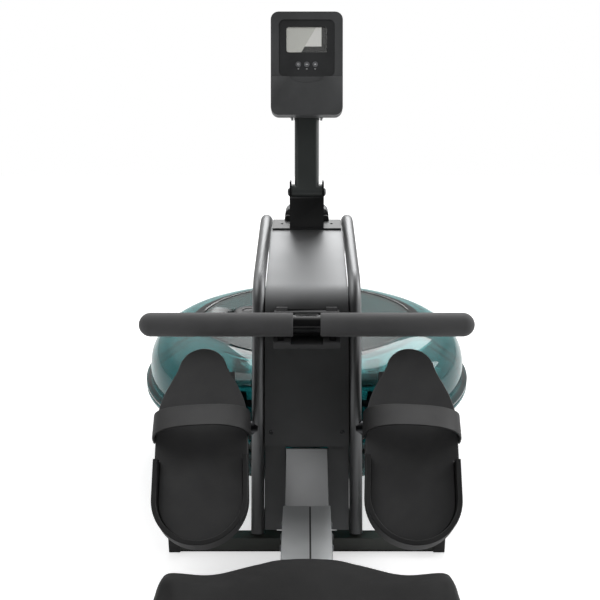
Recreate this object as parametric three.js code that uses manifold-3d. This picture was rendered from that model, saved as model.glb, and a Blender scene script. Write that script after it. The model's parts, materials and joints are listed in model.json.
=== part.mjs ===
// Water rowing machine, in millimetres.
// X is to the rower's right, Y runs from the rower towards the tank, Z is up.
// While the pieces are made, Y is zero at the heel bar; at the end the whole is centred.
import * as THREE from 'three';
import { mergeVertices } from 'three/addons/utils/BufferGeometryUtils.js';
import Module from 'manifold-3d';

// Clearances
const fit = 0.3;
const overrun = 6;
const cutReach = 120;
const runningGap = 1.5;

// Bars that stand on the floor
const barDepth = 20;
const barHeight = 20;
const barLift = 2;
const heelBarLength = 393;
const frontBarLength = 393;
const baseTubeSpacing = 110;
const baseTubeWidth = 20;
const capWall = 2;
const capSleeve = 14;

// Arch tubes: one round tube a side, from the heel bar over the tank to the front bar
const archDiameter = 19;
const archOuterWidth = 161;
const archFootY = -2;
const kneeY = 132;
const kneeRise = 43;
const kneeRadius = 60;
const crestSetback = 20;
const crestRise = 53;
const crestRadius = 90;
const browSetback = 60;
const browDrop = 68;
const browRadius = 60;

// Casing between the arch tubes
const casingWall = 2.5;
const casingFootY = 38.9;
const casingFootHeight = 144.6;
const casingKneeY = 119;
const casingKneeDrop = 9;
const casingKneeRadius = 55;
const casingCrestDrop = 7;
const casingCrestRadius = 90;
const casingBrowSetback = 12;
const casingBrowDrop = 4;
const casingBrowRadius = 40;
const casingSkirtHeight = 262;
const casingSkirtDepth = 9;
const crestBossWidth = 78;
const crestBossDepth = 44;
const crestBossRise = 22;
const crestBossSetback = 4;
const crestBossRadius = 14;
const crestBossRoot = 10;
const strapSlotWidth = 50;
const strapSlotHeight = 22;
const screwInset = 8;
const screwRise = 16;
const screwRadius = 3.2;
const screwHeadHeight = 1.6;
const screwShankRadius = 1.5;

// Lower cover
const lowerCoverRecess = 5;
const lowerCoverBottom = 30;
const lowerCoverNotch = 78;

// Rail neck and its cross member
const neckWidth = 60;
const neckRunout = 20;
const neckTopGap = 4.8;
const neckInsert = 80;
const crossMemberHeight = 34;
const crossMemberThickness = 8;
const crossMemberTop = 134;

// Seat rail
const railWidth = 65;
const railHeight = 50;
const railTopHeight = 90;
const railWall = 2.2;
const railFrontY = -32;
const railLength = 1140;
const grooveWidth = 2.4;
const grooveDepth = 1.2;
const grooveOffset = 4.5;
const railBoltRadius = 5;
const railBoltHead = 2.6;
const railBoltShank = 2.6;
const railBoltHeight = 66;
const railBoltFirst = 12;
const railBoltPitch = 25;
const railCapThickness = 12;
const railCapFlange = 4;
const railCapStop = 12;
const railCapPlug = 20;

// Rear foot
const rearFootLength = 300;
const rearFootInset = 25;
const rearBlockWidth = 60;
const rearBlockDepth = 50;

// Transport wheels
const wheelRadius = 25;
const wheelWidth = 22;
const wheelRimWidth = 4;
const wheelBore = 5.5;
const wheelHubRadius = 10;
const wheelHubProud = 1.1;
const wheelSpacing = 300;
const wheelReach = 40;
const wheelLift = 3;
const wheelAxleRadius = 5;
const wheelEarThickness = 3;
const wheelEarRadius = 11;

// Tank
const tankFront = 54;
const tankFrontBarGap = 30;
const flangeRadius = 288;
const flangeThickness = 5.5;
const flangeHeight = 138.5;
const tankBodyRadius = 278;
const tankWall = 4;
const tankTop = 240;
const lidRadius = 187;
const lidThickness = 5;
const lidRebate = 7;
const lidBossRadius = 30;
const lidBossHeight = 12;
const sealThickness = 1.4;
const sealWidth = 7;
const sealSetback = 2.5;
const plugRadius = 27;
const plugCapHeight = 9;
const plugNeckRadius = 22;
const plugNeckDepth = 12;
const plugX = -104;
const plugBack = 8;

// Upper and lower shell outlines, as shares of the body radius and of the shell's own height
const upperShellShares = [
  [1.000, 0.00], [1.003, 0.22], [0.987, 0.50], [0.930, 0.76], [0.860, 0.89], [0.770, 0.97],
];
const lowerShellShares = [
  [0.990, 0.00], [0.985, 0.22], [0.940, 0.54], [0.820, 0.85], [0.640, 1.00],
];

// Outlines of a domed bolt head and of the plug's cap, as shares of their radius and height
const boltHeadShares = [[0, 1], [0.6, 0.85], [1, 0.25], [1, 0]];
const plugCapShares = [[1, 0.7], [0.9, 1], [0, 1]];

// Impeller and shaft
const shaftRadius = 8;
const shaftTop = 310;
const hubRadius = 26;
const hubHeight = 70;
const impellerReach = 205;
const bladeThickness = 5;
const bladeLength = 95;
const bladeHeight = 54;
const armHeight = 16;
const bearingRadius = 16;
const bearingHeight = 9;
const footBossRadius = 22;

// Strap, drum, clutch and recoil spring
const strapWidth = 32;
const strapThickness = 2.2;
const drumRadius = 35;
const drumFlangeRadius = 50;
const drumFlangeThickness = 2;
const drumBottom = 268;
const drumHeight = 40;
const clutchRadius = 15;
const windingDepth = 9;
const runTurns = 8;
const runSettleShare = 0.8;
const springTurns = 3;
const springInnerRadius = 14;
const springOuterRadius = 42;
const springThickness = 1.6;
const springHeight = 12;
const idlerRadius = 18;
const idlerWidth = 40;
const idlerFlangeRadius = 21;
const idlerFlangeThickness = 2.5;
const idlerAxleRadius = 4;
const idlerSetback = 157;
const bracketPlate = 3;
const idlerBracketDepth = 30;
const idlerBracketCrown = 9;
const bridgeWidth = 114;
const bridgeDepth = 40;
const bridgeFoot = 17;
const bridgeTopRise = 12;
const springCupWall = 2.5;

// Handle
const handleY = 77;
const handleHeight = 317;
const handleLength = 480;
const handleBarRadius = 14;
const handleBarWall = 2;
const gripRadius = 17.2;
const gripGap = 39;
const anchorWidth = 36;
const anchorHeight = 22;
const anchorReach = 19;

// Cradle that the handle rests in
const cradleWidth = 95;
const cradleBottomDrop = 30;
const cradleFloor = 6;
const cradleLipThickness = 4;
const cradleLipDrop = 21;
const cradleFrontY = 60;
const cradleBackRise = 12;
const cradleBackThickness = 13;
const cradleOpening = 46;
const cradleProngRise = 16;
const cradleProngWidth = 16;
const cradleProngInset = 11;
const cradlePocketWidth = 10;
const cradlePocketDepth = 14;

// Console post and its bracket
const postBracketSetback = 8;
const postBracketDepth = 40;
const postBracketWidth = 118;
const postBracketPlate = 3;
const postBracketEar = 3;
const postBracketOuter = 58.6;
const postPivotSetback = 21;
const postPivotRise = 48.5;
const earTipRise = 19;
const earChamfer = 9;
const bracketWebRise = 43;
const bracketPlateRearDrop = 3;
const bracketPlateFrontDrop = 10.5;
const stopBlockWidth = 78;
const stopBlockRise = 4;
const stopBlockCorner = 5;
const stopBlockDepth = 9;
const bracketHoleSpacing = 86;
const bracketHoleRadius = 2.6;
const pivotBoltRadius = 4;
const pivotHeadRadius = 7;
const pivotHeadHeight = 3.4;
const postWidth = 41.5;
const postDepth = 25;
const postCorner = 8;
const postWall = 2;
const postLength = 127;
const postHingeRise = 131.8;
const postBarrelRadius = 14;
const postLean = 16;
const postCollarWidth = 44;
const postCollarHeight = 13;
const postCollarDepth = 27;

// Console
const consoleTilt = 16;
const consoleWidth = 120;
const consoleHeight = 171;
const consoleDrop = 8.4;
const consoleFront = 40;
const consoleThickness = 22;
const consoleFrontShell = 11;
const consoleCorner = 13;
const consoleWall = 2.4;
const consoleFaceWall = 3.2;
const faceWidth = 93;
const faceHeight = 94;
const faceTop = 13;
const faceRecess = 1.2;
const faceCorner = 9;
const lowerPanelProud = 1.5;
const faceScoopWidth = 57;
const faceScoopDepth = 11.5;
const screenWidth = 68;
const screenHeight = 42;
const screenDrop = 25;
const screenCorner = 4;
const lensThickness = 2;
const keyRadius = 4.6;
const keyHeight = 4.2;
const keyProud = 0.9;
const keyPitch = 14;
const keyDrop = 87;
const boardThickness = 1.6;
const displayThickness = 3;
const consoleEarThickness = 3.6;
const consoleEarRadius = 9;
const consoleBoltRadius = 3;
const consoleBoltHead = 5.5;
const consoleBoltHeadHeight = 2.75;

// Pedals
const pedalX = 133.4;
const heelY = -135;
const heelHeight = 100;
const pedalSlope = 42;
const pedalToeOut = 3.15;
const plateLength = 275;
const plateThickness = 12;
const plateHalfWidth = 62;
const plateHeelRadius = 55;
const heelInset = 3;
const plateToeRadius = 34;
const plateShoulder = 204;
const plateTaperStart = 158;
const plateStep = 112;
const cupWall = 6.8;
const cupRise = 13;
const cupFloor = 2.4;
const cupFloorLength = 84;
const footStrapStart = 139;
const footStrapWidth = 37;
const footStrapThickness = 3;
const footStrapHeelRise = 52;
const footStrapToeRise = 32;
const footStrapHang = 9;
const pedalAxleHeight = 165;
const pedalAxleRadius = 7;
const pedalAxleCollar = 11;
const pedalAxleHead = 4;
const pedalRibThickness = 10;
const pedalRibSpacing = 52;
const pedalRibLength = 120;
const pedalRibRoot = 9.6;
const pedalBossRadius = 13;

// Seat
const seatY = -395;
const seatWidth = 304;
const seatDepth = 250;
const seatThickness = 50;
const seatRim = 12;
const seatNoseRun = 71;
const seatNoseArc = 1.5;
const seatTip = 2.5;
const seatTipRun = 30;
const seatCorner = 10;
const seatBevelRun = 30;
const seatBevelDrop = 10.8;
const seatNotchRun = 64;
const seatNose = 14;
const seatNoseHalf = 34;
const seatHollow = 5;
const seatRearNotch = 26;
const carriageLength = 176;
const carriagePlate = 3;
const carriageWidth = 76;
const carriageTop = 142;
const carriageWing = 200;
const carriageWingDepth = 150;
const rollerRadius = 20;
const rollerWidth = 20;
const rollerSpacing = 34;
const rollerBase = 150;
const rollerAxleRadius = 4;
const rollerHubRadius = 9;
const carriageLip = 16;

// Places along the machine: the tank's flange sets where the front bar, the arch's crest and the drive stand
const tankY = tankFront + flangeRadius;
const frontBarY = tankY + flangeRadius + tankFrontBarGap;
const crestY = tankY + crestSetback;
const browY = frontBarY - browSetback;
const casingBrowY = browY - casingBrowSetback;
const idlerY = tankY - idlerSetback;
const postBracketY = tankY - postBracketSetback;
const postPivotY = postBracketY + postPivotSetback;
const sealRadius = tankBodyRadius - tankWall + sealSetback;

// Heights: the handle's height sets the arch, the casing, the bracket and the drive above the lid
const kneeHeight = handleHeight + kneeRise;
const crestHeight = kneeHeight + crestRise;
const browHeight = crestHeight - browDrop;
const casingKneeHeight = kneeHeight - casingKneeDrop;
const casingCrestHeight = crestHeight - casingCrestDrop;
const casingBrowHeight = browHeight - casingBrowDrop;
const crestBossHeight = casingCrestHeight + crestBossRise;
const bridgeTop = handleHeight + bridgeTopRise;
const cradleBottom = handleHeight - cradleBottomDrop;
const cradleLipTop = handleHeight - cradleLipDrop;
const cradleBackTop = handleHeight + cradleBackRise;
const cradleProngTop = handleHeight + cradleProngRise;
const postPivotHeight = crestHeight + postPivotRise;
const bracketWebHeight = crestHeight + bracketWebRise;
const bracketPlateRear = crestHeight - bracketPlateRearDrop;
const bracketPlateFront = crestHeight - bracketPlateFrontDrop;
const stopBlockTop = crestHeight + stopBlockRise;

// Numbers of facets
const tubeSides = 12;
const roundSides = 24;
const tankSides = 40;
const screwSides = 8;
const arcSteps = 6;

const wasm = await Module();
wasm.setup();

// Keeps positions only, joins shared corners, drops empty triangles and turns the faces outwards.
function clean(source) {
  const loose = source.clone();
  loose.deleteAttribute('normal');
  loose.deleteAttribute('uv');
  const merged = mergeVertices(loose);
  const at = merged.getAttribute('position');
  const kept = [];
  let volume = 0;
  const a = new THREE.Vector3();
  const b = new THREE.Vector3();
  const c = new THREE.Vector3();
  for (let i = 0; i < merged.index.count; i += 3) {
    const [p, q, r] = [merged.index.getX(i), merged.index.getX(i + 1), merged.index.getX(i + 2)];
    if (p === q || q === r || r === p) continue;
    kept.push(p, q, r);
    a.fromBufferAttribute(at, p);
    b.fromBufferAttribute(at, q);
    c.fromBufferAttribute(at, r);
    volume += a.dot(b.cross(c));
  }
  if (volume < 0) kept.reverse();
  merged.setIndex(kept);
  return merged;
}

function toManifold(geometry) {
  const closed = clean(geometry);
  const vertProperties = new Float32Array(closed.getAttribute('position').array);
  const triVerts = new Uint32Array(closed.index.array);
  return new wasm.Manifold(new wasm.Mesh({ numProp: 3, vertProperties, triVerts }));
}

function fromManifold(solid) {
  const mesh = solid.getMesh();
  const geometry = new THREE.BufferGeometry();
  geometry.setAttribute('position', new THREE.BufferAttribute(mesh.vertProperties, 3));
  geometry.setIndex(new THREE.BufferAttribute(mesh.triVerts, 1));
  return geometry;
}

function join(...geometries) {
  return fromManifold(geometries.map(toManifold).reduce((sum, next) => sum.add(next)));
}

function cut(base, ...tools) {
  return fromManifold(tools.map(toManifold).reduce((rest, tool) => rest.subtract(tool), toManifold(base)));
}

// Separate closed solids kept in one piece, such as a set of identical screws.
function box(width, depth, height, x = 0, y = 0, z = 0) {
  return new THREE.BoxGeometry(width, depth, height).translate(x, y, z);
}

function rodX(radius, length, x = 0, y = 0, z = 0, sides = roundSides) {
  const rod = new THREE.CylinderGeometry(radius, radius, length, sides);
  return rod.rotateZ(Math.PI / 2).translate(x, y, z);
}

function rodY(radius, length, x = 0, y = 0, z = 0, sides = roundSides) {
  return new THREE.CylinderGeometry(radius, radius, length, sides).translate(x, y, z);
}

function rodZ(radius, length, x = 0, y = 0, z = 0, sides = roundSides) {
  const rod = new THREE.CylinderGeometry(radius, radius, length, sides);
  return rod.rotateX(Math.PI / 2).translate(x, y, z);
}

// A closed profile of [radius, height] points turned round the Z axis.
function turned(profile, sides = roundSides) {
  const closed = [...profile, profile[0]].map(([r, z]) => new THREE.Vector2(r, z));
  return new THREE.LatheGeometry(closed, sides).rotateX(Math.PI / 2);
}

function turnedX(profile, sides = roundSides) {
  return turned(profile, sides).rotateY(Math.PI / 2);
}

function ringZ(outer, inner, height, sides = roundSides) {
  return turned([[inner, -height / 2], [outer, -height / 2], [outer, height / 2], [inner, height / 2]], sides);
}

function outline(points) {
  return new THREE.Shape(points.map(([u, v]) => new THREE.Vector2(u, v)));
}

// An outline in Y and Z carried along X, centred on x.
function prismX(points, width, x = 0) {
  const flat = points.isShape ? points : outline(points);
  const prism = new THREE.ExtrudeGeometry(flat, { depth: width, bevelEnabled: false, curveSegments: arcSteps / 2 });
  prism.translate(0, 0, x - width / 2);
  const turn = new THREE.Matrix4().makeBasis(
    new THREE.Vector3(0, 1, 0), new THREE.Vector3(0, 0, 1), new THREE.Vector3(1, 0, 0),
  );
  return prism.applyMatrix4(turn);
}

// An outline in X and Z carried along Y, from y towards the tank.
function prismY(shape, depth, y = 0) {
  const prism = new THREE.ExtrudeGeometry(shape, { depth, bevelEnabled: false, curveSegments: arcSteps / 2 });
  return prism.rotateX(Math.PI / 2).translate(0, y + depth, 0);
}

// An outline in X and Y carried up Z, from z.
function prismZ(shape, height, z = 0) {
  const prism = new THREE.ExtrudeGeometry(shape, { depth: height, bevelEnabled: false, curveSegments: arcSteps / 2 });
  return prism.translate(0, 0, z);
}

function roundedRect(width, height, radius, x = 0, y = 0) {
  const shape = new THREE.Shape();
  const [u, v] = [width / 2 - radius, height / 2 - radius];
  shape.absarc(x + u, y + v, radius, 0, Math.PI / 2);
  shape.absarc(x - u, y + v, radius, Math.PI / 2, Math.PI);
  shape.absarc(x - u, y - v, radius, Math.PI, Math.PI * 1.5);
  shape.absarc(x + u, y - v, radius, Math.PI * 1.5, Math.PI * 2);
  shape.closePath();
  return shape;
}

// Straight runs joined by arcs. A corner is [y, z, radius], and the ends have no radius.
function filleted(corners) {
  const points = [];
  corners.forEach(([y, z, radius], i) => {
    const here = new THREE.Vector2(y, z);
    if (!radius) {
      points.push(here);
      return;
    }
    const back = new THREE.Vector2(...corners[i - 1].slice(0, 2)).sub(here).normalize();
    const on = new THREE.Vector2(...corners[i + 1].slice(0, 2)).sub(here).normalize();
    const half = Math.acos(back.dot(on)) / 2;
    const middle = back.clone().add(on).normalize().multiplyScalar(radius / Math.sin(half)).add(here);
    const first = back.multiplyScalar(radius / Math.tan(half)).add(here).sub(middle);
    const last = on.multiplyScalar(radius / Math.tan(half)).add(here).sub(middle);
    const sweep = Math.atan2(first.cross(last), first.dot(last));
    for (let k = 0; k <= arcSteps; k += 1) {
      points.push(first.clone().rotateAround(new THREE.Vector2(), (sweep * k) / arcSteps).add(middle));
    }
  });
  return points;
}

// Moves a run of points sideways; a positive distance is to the left of its direction.
function offset(points, distance) {
  return points.map((point, i) => {
    const before = points[Math.max(i - 1, 0)];
    const after = points[Math.min(i + 1, points.length - 1)];
    const along = after.clone().sub(before).normalize();
    return new THREE.Vector2(point.x - along.y * distance, point.y + along.x * distance);
  });
}

// A path through given points, with one step to each stretch.
class PointPath extends THREE.Curve {
  constructor(points) {
    super();
    this.points = points;
  }

  getPoint(t, target = new THREE.Vector3()) {
    const place = t * (this.points.length - 1);
    const i = Math.min(Math.floor(place), this.points.length - 2);
    return target.copy(this.points[i]).lerp(this.points[i + 1], place - i);
  }

  getUtoTmapping(u) {
    return u;
  }
}

function sweep(section, points) {
  const extrudePath = new PointPath(points);
  return new THREE.ExtrudeGeometry(section, { steps: points.length - 1, extrudePath, curveSegments: tubeSides / 2 });
}

// A closed skin over rings of points, with a flat fan over each end.
function loft(rings) {
  const sides = rings[0].length;
  const position = rings.flat().flatMap((p) => [p.x, p.y, p.z]);
  const index = [];
  for (let i = 0; i + 1 < rings.length; i += 1) {
    for (let j = 0; j < sides; j += 1) {
      const [a, b] = [i * sides + j, i * sides + ((j + 1) % sides)];
      index.push(a, b, b + sides, a, b + sides, a + sides);
    }
  }
  const last = (rings.length - 1) * sides;
  for (let j = 1; j + 1 < sides; j += 1) {
    index.push(0, j + 1, j, last, last + j, last + j + 1);
  }
  const geometry = new THREE.BufferGeometry();
  geometry.setAttribute('position', new THREE.Float32BufferAttribute(position, 3));
  geometry.setIndex(index);
  return geometry;
}

function finish(color, roughness, metalness = 0) {
  return new THREE.MeshStandardMaterial({ color, roughness, metalness });
}

const tubePaint = finish('#4a4d4c', 0.35, 0.6);
const blackPaint = finish('#141414', 0.5, 0.4);
const railMetal = finish('#808080', 0.4, 0.7);
const casingPaint = finish('#3a3a3a', 0.3, 0.3);
const blackPlastic = finish('#2b2b2b', 0.6);
const pedalPlastic = finish('#383838', 0.7);
const strapRubber = finish('#2c2c2c', 0.6);
const gripFoam = finish('#484848', 0.85);
const barMetal = finish('#2a2a2a', 0.25, 0.6);
const consolePlastic = finish('#3f3f3f', 0.55);
const keyRubber = finish('#555555', 0.6);
const lensClear = finish('#d8d8d0', 0.1);
const boardGreen = finish('#2f5a3a', 0.6);
const tankClear = finish('#5fa6a6', 0.1);
const lidClear = finish('#5f7370', 0.3);
const steel = finish('#9a9a9a', 0.35, 0.9);
const webbing = finish('#202020', 0.9);
const tyreRubber = finish('#1c1c1c', 0.85);
const seatFoam = finish('#262626', 0.75);

const machine = new THREE.Group();

function add(name, geometry, material, parent = machine) {
  const closed = clean(geometry);
  closed.computeVertexNormals();
  const mesh = new THREE.Mesh(closed, material);
  mesh.name = name;
  parent.add(mesh);
  return mesh;
}

function smooth(value) {
  const share = Math.min(Math.max(value, 0), 1);
  return share * share * (3 - 2 * share);
}

const sides = [['left', -1], ['right', 1]];
const radians = THREE.MathUtils.degToRad;
const barTop = barLift + barHeight;

// Base frame: the heel bar, the front bar, two tubes between them and the wheel brackets, welded
function addBaseFrame() {
  const middle = barLift + barHeight / 2;
  const heelBar = box(heelBarLength, barDepth, barHeight, 0, 0, middle);
  const frontBar = box(frontBarLength, barDepth, barHeight, 0, frontBarY, middle);
  const runs = sides.map(([, side]) => (
    box(baseTubeWidth, frontBarY, barHeight, (side * baseTubeSpacing) / 2, frontBarY / 2, middle)
  ));
  const brackets = sides.map(([, side]) => wheelBracket((side * wheelSpacing) / 2));
  add('base_frame', join(heelBar, frontBar, ...runs, ...brackets), blackPaint);
}

// A rubber sleeve that closes a bar's end and stands on the floor
function endCap(side, length, y) {
  const depth = barDepth + 2 * (capWall + fit);
  const height = barTop + fit + capWall;
  const outer = side * (length / 2 + fit + capWall);
  const inner = side * (length / 2 - capSleeve);
  const shell = box(Math.abs(outer - inner), depth, height, (outer + inner) / 2, y, height / 2);
  const reach = capSleeve + fit + overrun;
  const start = side * (length / 2 + fit - reach / 2);
  const hollow = box(reach, barDepth + 2 * fit, barHeight + 2 * fit, start, y, barLift + barHeight / 2);
  return cut(shell, hollow);
}

// A bar's two sleeves are one shoe, joined by a flat strip under the bar.
function addShoe(name, length, y) {
  const strip = box(length, barDepth, barLift - fit, 0, y, (barLift - fit) / 2);
  add(name, join(strip, ...sides.map(([, side]) => endCap(side, length, y))), tyreRubber);
}

function addShoes() {
  addShoe('heel_bar_shoe', heelBarLength, 0);
  addShoe('front_bar_shoe', frontBarLength, frontBarY);
  addShoe('rear_foot_shoe', rearFootLength, rearFootY);
}

const archX = (archOuterWidth - archDiameter) / 2;
const archInner = archX - archDiameter / 2;

function archLine() {
  return filleted([
    [archFootY, barTop + fit], [kneeY, kneeHeight, kneeRadius], [crestY, crestHeight, crestRadius],
    [browY, browHeight, browRadius], [frontBarY, barTop + fit],
  ]);
}

// A pedal's axle: a pin through the tube's wall, a spacer and the upset end that keeps the pedal on
function pedalAxle(sign) {
  const y = legY(pedalAxleHeight);
  const bossHalf = (pedalRibSpacing + pedalRibThickness) / 2;
  const rod = (radius, start, end) => (
    rodX(radius, end - start, (sign * (start + end)) / 2, y, pedalAxleHeight)
  );
  const outer = pedalX + bossHalf + runningGap / 2;
  const spacer = rod(pedalAxleCollar, archX, pedalX - bossHalf - runningGap / 2);
  return join(rod(pedalAxleRadius, archX, outer + pedalAxleHead), spacer,
    rod(pedalAxleCollar, outer, outer + pedalAxleHead));
}

function addArchTubes() {
  const section = new THREE.Shape().absarc(0, 0, archDiameter / 2, 0, Math.PI * 2);
  const points = archLine();
  const last = points.length - 1;
  const frontLean = Math.atan2(frontBarY - points[last - 1].x, points[last - 1].y - barTop);
  points[0].y += (archDiameter / 2) * Math.sin(legLean);
  points[last].y += (archDiameter / 2) * Math.sin(frontLean);
  for (const [side, sign] of sides) {
    const path = points.map((p) => new THREE.Vector3(sign * archX, p.x, p.y));
    add(`${side}_arch_tube`, join(sweep(section, path), pedalAxle(sign)), tubePaint);
  }
}

// Height and place on the straight leg of the arch
const legLean = Math.atan2(kneeY - archFootY, kneeHeight - barTop - fit);

function legY(height) {
  return archFootY + (height - barTop - fit) * Math.tan(legLean);
}

const railRearY = railFrontY - railLength;
const railBottom = railTopHeight - railHeight;
const rearFootY = railRearY + rearFootInset;

// The cross member is set behind the leg line, and the neck is welded to its front
const crossMemberSet = 0.5;
const crossMemberBottom = crossMemberTop - crossMemberHeight;
const frameInside = 2 * (archInner - fit);
const railInnerTop = railTopHeight - railWall - fit;
const railInnerBottom = railBottom + railWall + fit;

function railBoltPlaces() {
  return [0, 1, 2].map((i) => railFrontY - railBoltFirst - i * railBoltPitch);
}

function railBoltHoles() {
  const length = railWidth + 2 * overrun;
  return railBoltPlaces().map((y) => rodX(railBoltShank + fit, length, 0, y, railBoltHeight, screwSides));
}

function addRailNeck() {
  const front = crossMemberSet;
  const back = crossMemberSet + crossMemberThickness;
  const neck = prismX([
    [railFrontY - neckInsert, railInnerBottom],
    [railFrontY + neckRunout, railInnerBottom],
    [legY(crossMemberBottom) + back / 2, crossMemberBottom],
    [legY(crossMemberTop) + back / 2, crossMemberTop],
    [casingFootY, casingFootHeight - neckTopGap],
    [railFrontY, railInnerTop],
    [railFrontY - neckInsert, railInnerTop],
  ], neckWidth);
  const member = prismX([
    [legY(crossMemberBottom) + front, crossMemberBottom],
    [legY(crossMemberBottom) + back, crossMemberBottom],
    [legY(crossMemberTop) + back, crossMemberTop],
    [legY(crossMemberTop) + front, crossMemberTop],
  ], frameInside);
  add('rail_neck', cut(join(neck, member), ...railBoltHoles()), railMetal);
}

function addRail() {
  const section = roundedRect(railWidth, railHeight, railWall / 2, 0, railTopHeight - railHeight / 2);
  const inside = box(
    railWidth - 2 * railWall, railLength + 2 * overrun, railHeight - 2 * railWall,
    0, railRearY + railLength / 2, railTopHeight - railHeight / 2,
  );
  const groove = box(
    grooveWidth, railLength + 2 * overrun, 2 * grooveDepth, grooveOffset, railRearY + railLength / 2, railTopHeight,
  );
  add('seat_rail', cut(prismY(section, railLength, railRearY), inside, groove, ...railBoltHoles()), railMetal);
}

// Each bolt goes right through the rail and the neck, with a round head at either side.
function addRailBolts() {
  const face = railWidth / 2 + fit;
  const names = ['front', 'middle', 'rear'];
  railBoltPlaces().forEach((y, i) => {
    const heads = sides.map(([, side]) => (
      rodX(railBoltRadius, railBoltHead, side * (face + railBoltHead / 2), 0, 0, roundSides / 2)
    ));
    const shank = rodX(railBoltShank, 2 * face + railBoltHead, 0, 0, 0, screwSides);
    add(`rail_bolt_${names[i]}`, join(shank, ...heads), steel).position.set(0, y, railBoltHeight);
  });
}

function addRailEndCap() {
  const middle = railTopHeight - railHeight / 2;
  const height = railHeight + railCapStop;
  const plate = box(railWidth, railCapFlange, height, 0, railRearY - fit - railCapFlange / 2, railBottom + height / 2);
  const plug = box(
    railWidth - 2 * (railWall + fit), railCapPlug + railCapFlange, railHeight - 2 * (railWall + fit),
    0, railRearY + (railCapPlug - railCapFlange) / 2, middle,
  );
  const stop = box(
    railWidth / 2, railCapThickness + railCapFlange, railCapStop - fit,
    0, railRearY + (railCapThickness - railCapFlange) / 2, railTopHeight + fit + (railCapStop - fit) / 2,
  );
  add('rail_end_cap', join(plate, plug, stop), tyreRubber);
}

function addRearFoot() {
  const bar = box(rearFootLength, barDepth, barHeight, 0, rearFootY, barLift + barHeight / 2);
  const low = barLift + barHeight / 2;
  const block = box(
    rearBlockWidth, rearBlockDepth, railBottom - fit - low, 0, rearFootY, (railBottom - fit + low) / 2,
  );
  add('rear_foot', join(bar, block), blackPaint);
}

const wheelY = frontBarY + wheelReach;
const wheelHeight = wheelLift + wheelRadius;

const wheelHub = wheelWidth / 2 + wheelHubProud;

function wheelBracket(x) {
  const inside = wheelHub + runningGap;
  const start = frontBarY + barDepth / 2 - wheelEarThickness;
  const plate = box(2 * (inside + wheelEarThickness), 2 * wheelEarThickness, barHeight, x, start + wheelEarThickness,
    barLift + barHeight / 2);
  const ears = [-1, 1].map((end) => prismX([
    [start, barLift], [wheelY, wheelHeight - wheelEarRadius], [wheelY + wheelEarRadius, wheelHeight],
    [wheelY, wheelHeight + wheelEarRadius], [start, barTop],
  ], wheelEarThickness, x + end * (inside + wheelEarThickness / 2)));
  const half = inside + wheelEarThickness + wheelAxleRadius / 2;
  return join(plate, ...ears, rodX(wheelAxleRadius, 2 * half, x, wheelY, wheelHeight, roundSides / 2));
}

function addWheels() {
  const half = wheelWidth / 2;
  const tread = half - wheelRimWidth;
  const profile = [
    [wheelBore, -wheelHub], [wheelHubRadius, -wheelHub], [wheelHubRadius, -tread],
    [wheelRadius - wheelRimWidth, -tread], [wheelRadius - wheelRimWidth, -half], [wheelRadius, -tread],
    [wheelRadius, tread], [wheelRadius - wheelRimWidth, half], [wheelRadius - wheelRimWidth, tread],
    [wheelHubRadius, tread], [wheelHubRadius, wheelHub], [wheelBore, wheelHub],
  ];
  for (const [side, sign] of sides) {
    const wheel = add(`${side}_transport_wheel`, turnedX(profile), tyreRubber);
    wheel.position.set((sign * wheelSpacing) / 2, wheelY, wheelHeight);
  }
}

function casingLine() {
  return filleted([
    [casingFootY, casingFootHeight], [casingKneeY, casingKneeHeight, casingKneeRadius],
    [crestY, casingCrestHeight, casingCrestRadius], [casingBrowY, casingBrowHeight, casingBrowRadius],
    [browY, casingSkirtHeight],
  ]);
}

const casingWidth = frameInside;
const casingLean = Math.atan2(casingKneeY - casingFootY, casingKneeHeight - casingFootHeight);

function casingY(height) {
  return casingFootY + (height - casingFootHeight) * Math.tan(casingLean);
}

const screwX = casingWidth / 2 - screwInset - screwShankRadius;
const screwHeight = casingFootHeight + screwRise;

// A screw set square into the casing's front, with its head on the outside.
function casingScrew(x, radius, length, ahead) {
  const screw = rodY(radius, length, 0, length / 2 - ahead, 0, screwSides);
  return screw.rotateX(-casingLean).translate(x, casingY(screwHeight), screwHeight);
}

function bracketScrewPlace() {
  return [postBracketY + postBracketDepth / 2, (bracketPlateFront + bracketPlateRear) / 2];
}

const bracketSlope = Math.atan2(bracketPlateRear - bracketPlateFront, postBracketDepth);

// A screw set square into the bracket's plate; the head stands on the plate.
function bracketScrew(x, radius, length, above) {
  const [y, z] = bracketScrewPlace();
  return rodZ(radius, length, 0, 0, above - length / 2, screwSides).rotateX(bracketSlope).translate(x, y, z);
}

function addCasingCover() {
  const line = casingLine();
  const inner = offset(line, -casingWall);
  const outerSide = [
    ...line.map((p) => [p.x, p.y]),
    [casingY(casingSkirtHeight) + casingSkirtDepth, casingSkirtHeight],
    [casingFootY + casingSkirtDepth, casingFootHeight],
  ];
  const low = casingFootHeight - overrun;
  const innerSide = [
    [inner[0].x - overrun * Math.tan(casingLean), inner[0].y - overrun],
    ...inner.map((p) => [p.x, p.y]),
    [inner[inner.length - 1].x, low],
  ];
  const shell = cut(prismX(outerSide, casingWidth), prismX(innerSide, casingWidth - 2 * casingWall));
  const bossStart = postBracketY + postBracketDepth + stopBlockDepth + crestBossSetback;
  const bossBase = casingCrestHeight - 2 * crestBossRoot;
  const bossHeight = crestBossHeight - bossBase;
  const bossShape = roundedRect(crestBossWidth, bossHeight, crestBossRadius, 0, bossBase + bossHeight / 2);
  const boss = prismY(bossShape, crestBossDepth, bossStart);
  const slotY = casingY(handleHeight);
  const slot = box(strapSlotWidth, cutReach, strapSlotHeight, 0, slotY, handleHeight);
  const reach = casingWall + 2 * overrun;
  const holes = sides.map(([, side]) => casingScrew(side * screwX, screwShankRadius + fit, reach, overrun));
  add('casing_cover', cut(join(shell, boss), slot, ...holes), casingPaint);
}

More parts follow.
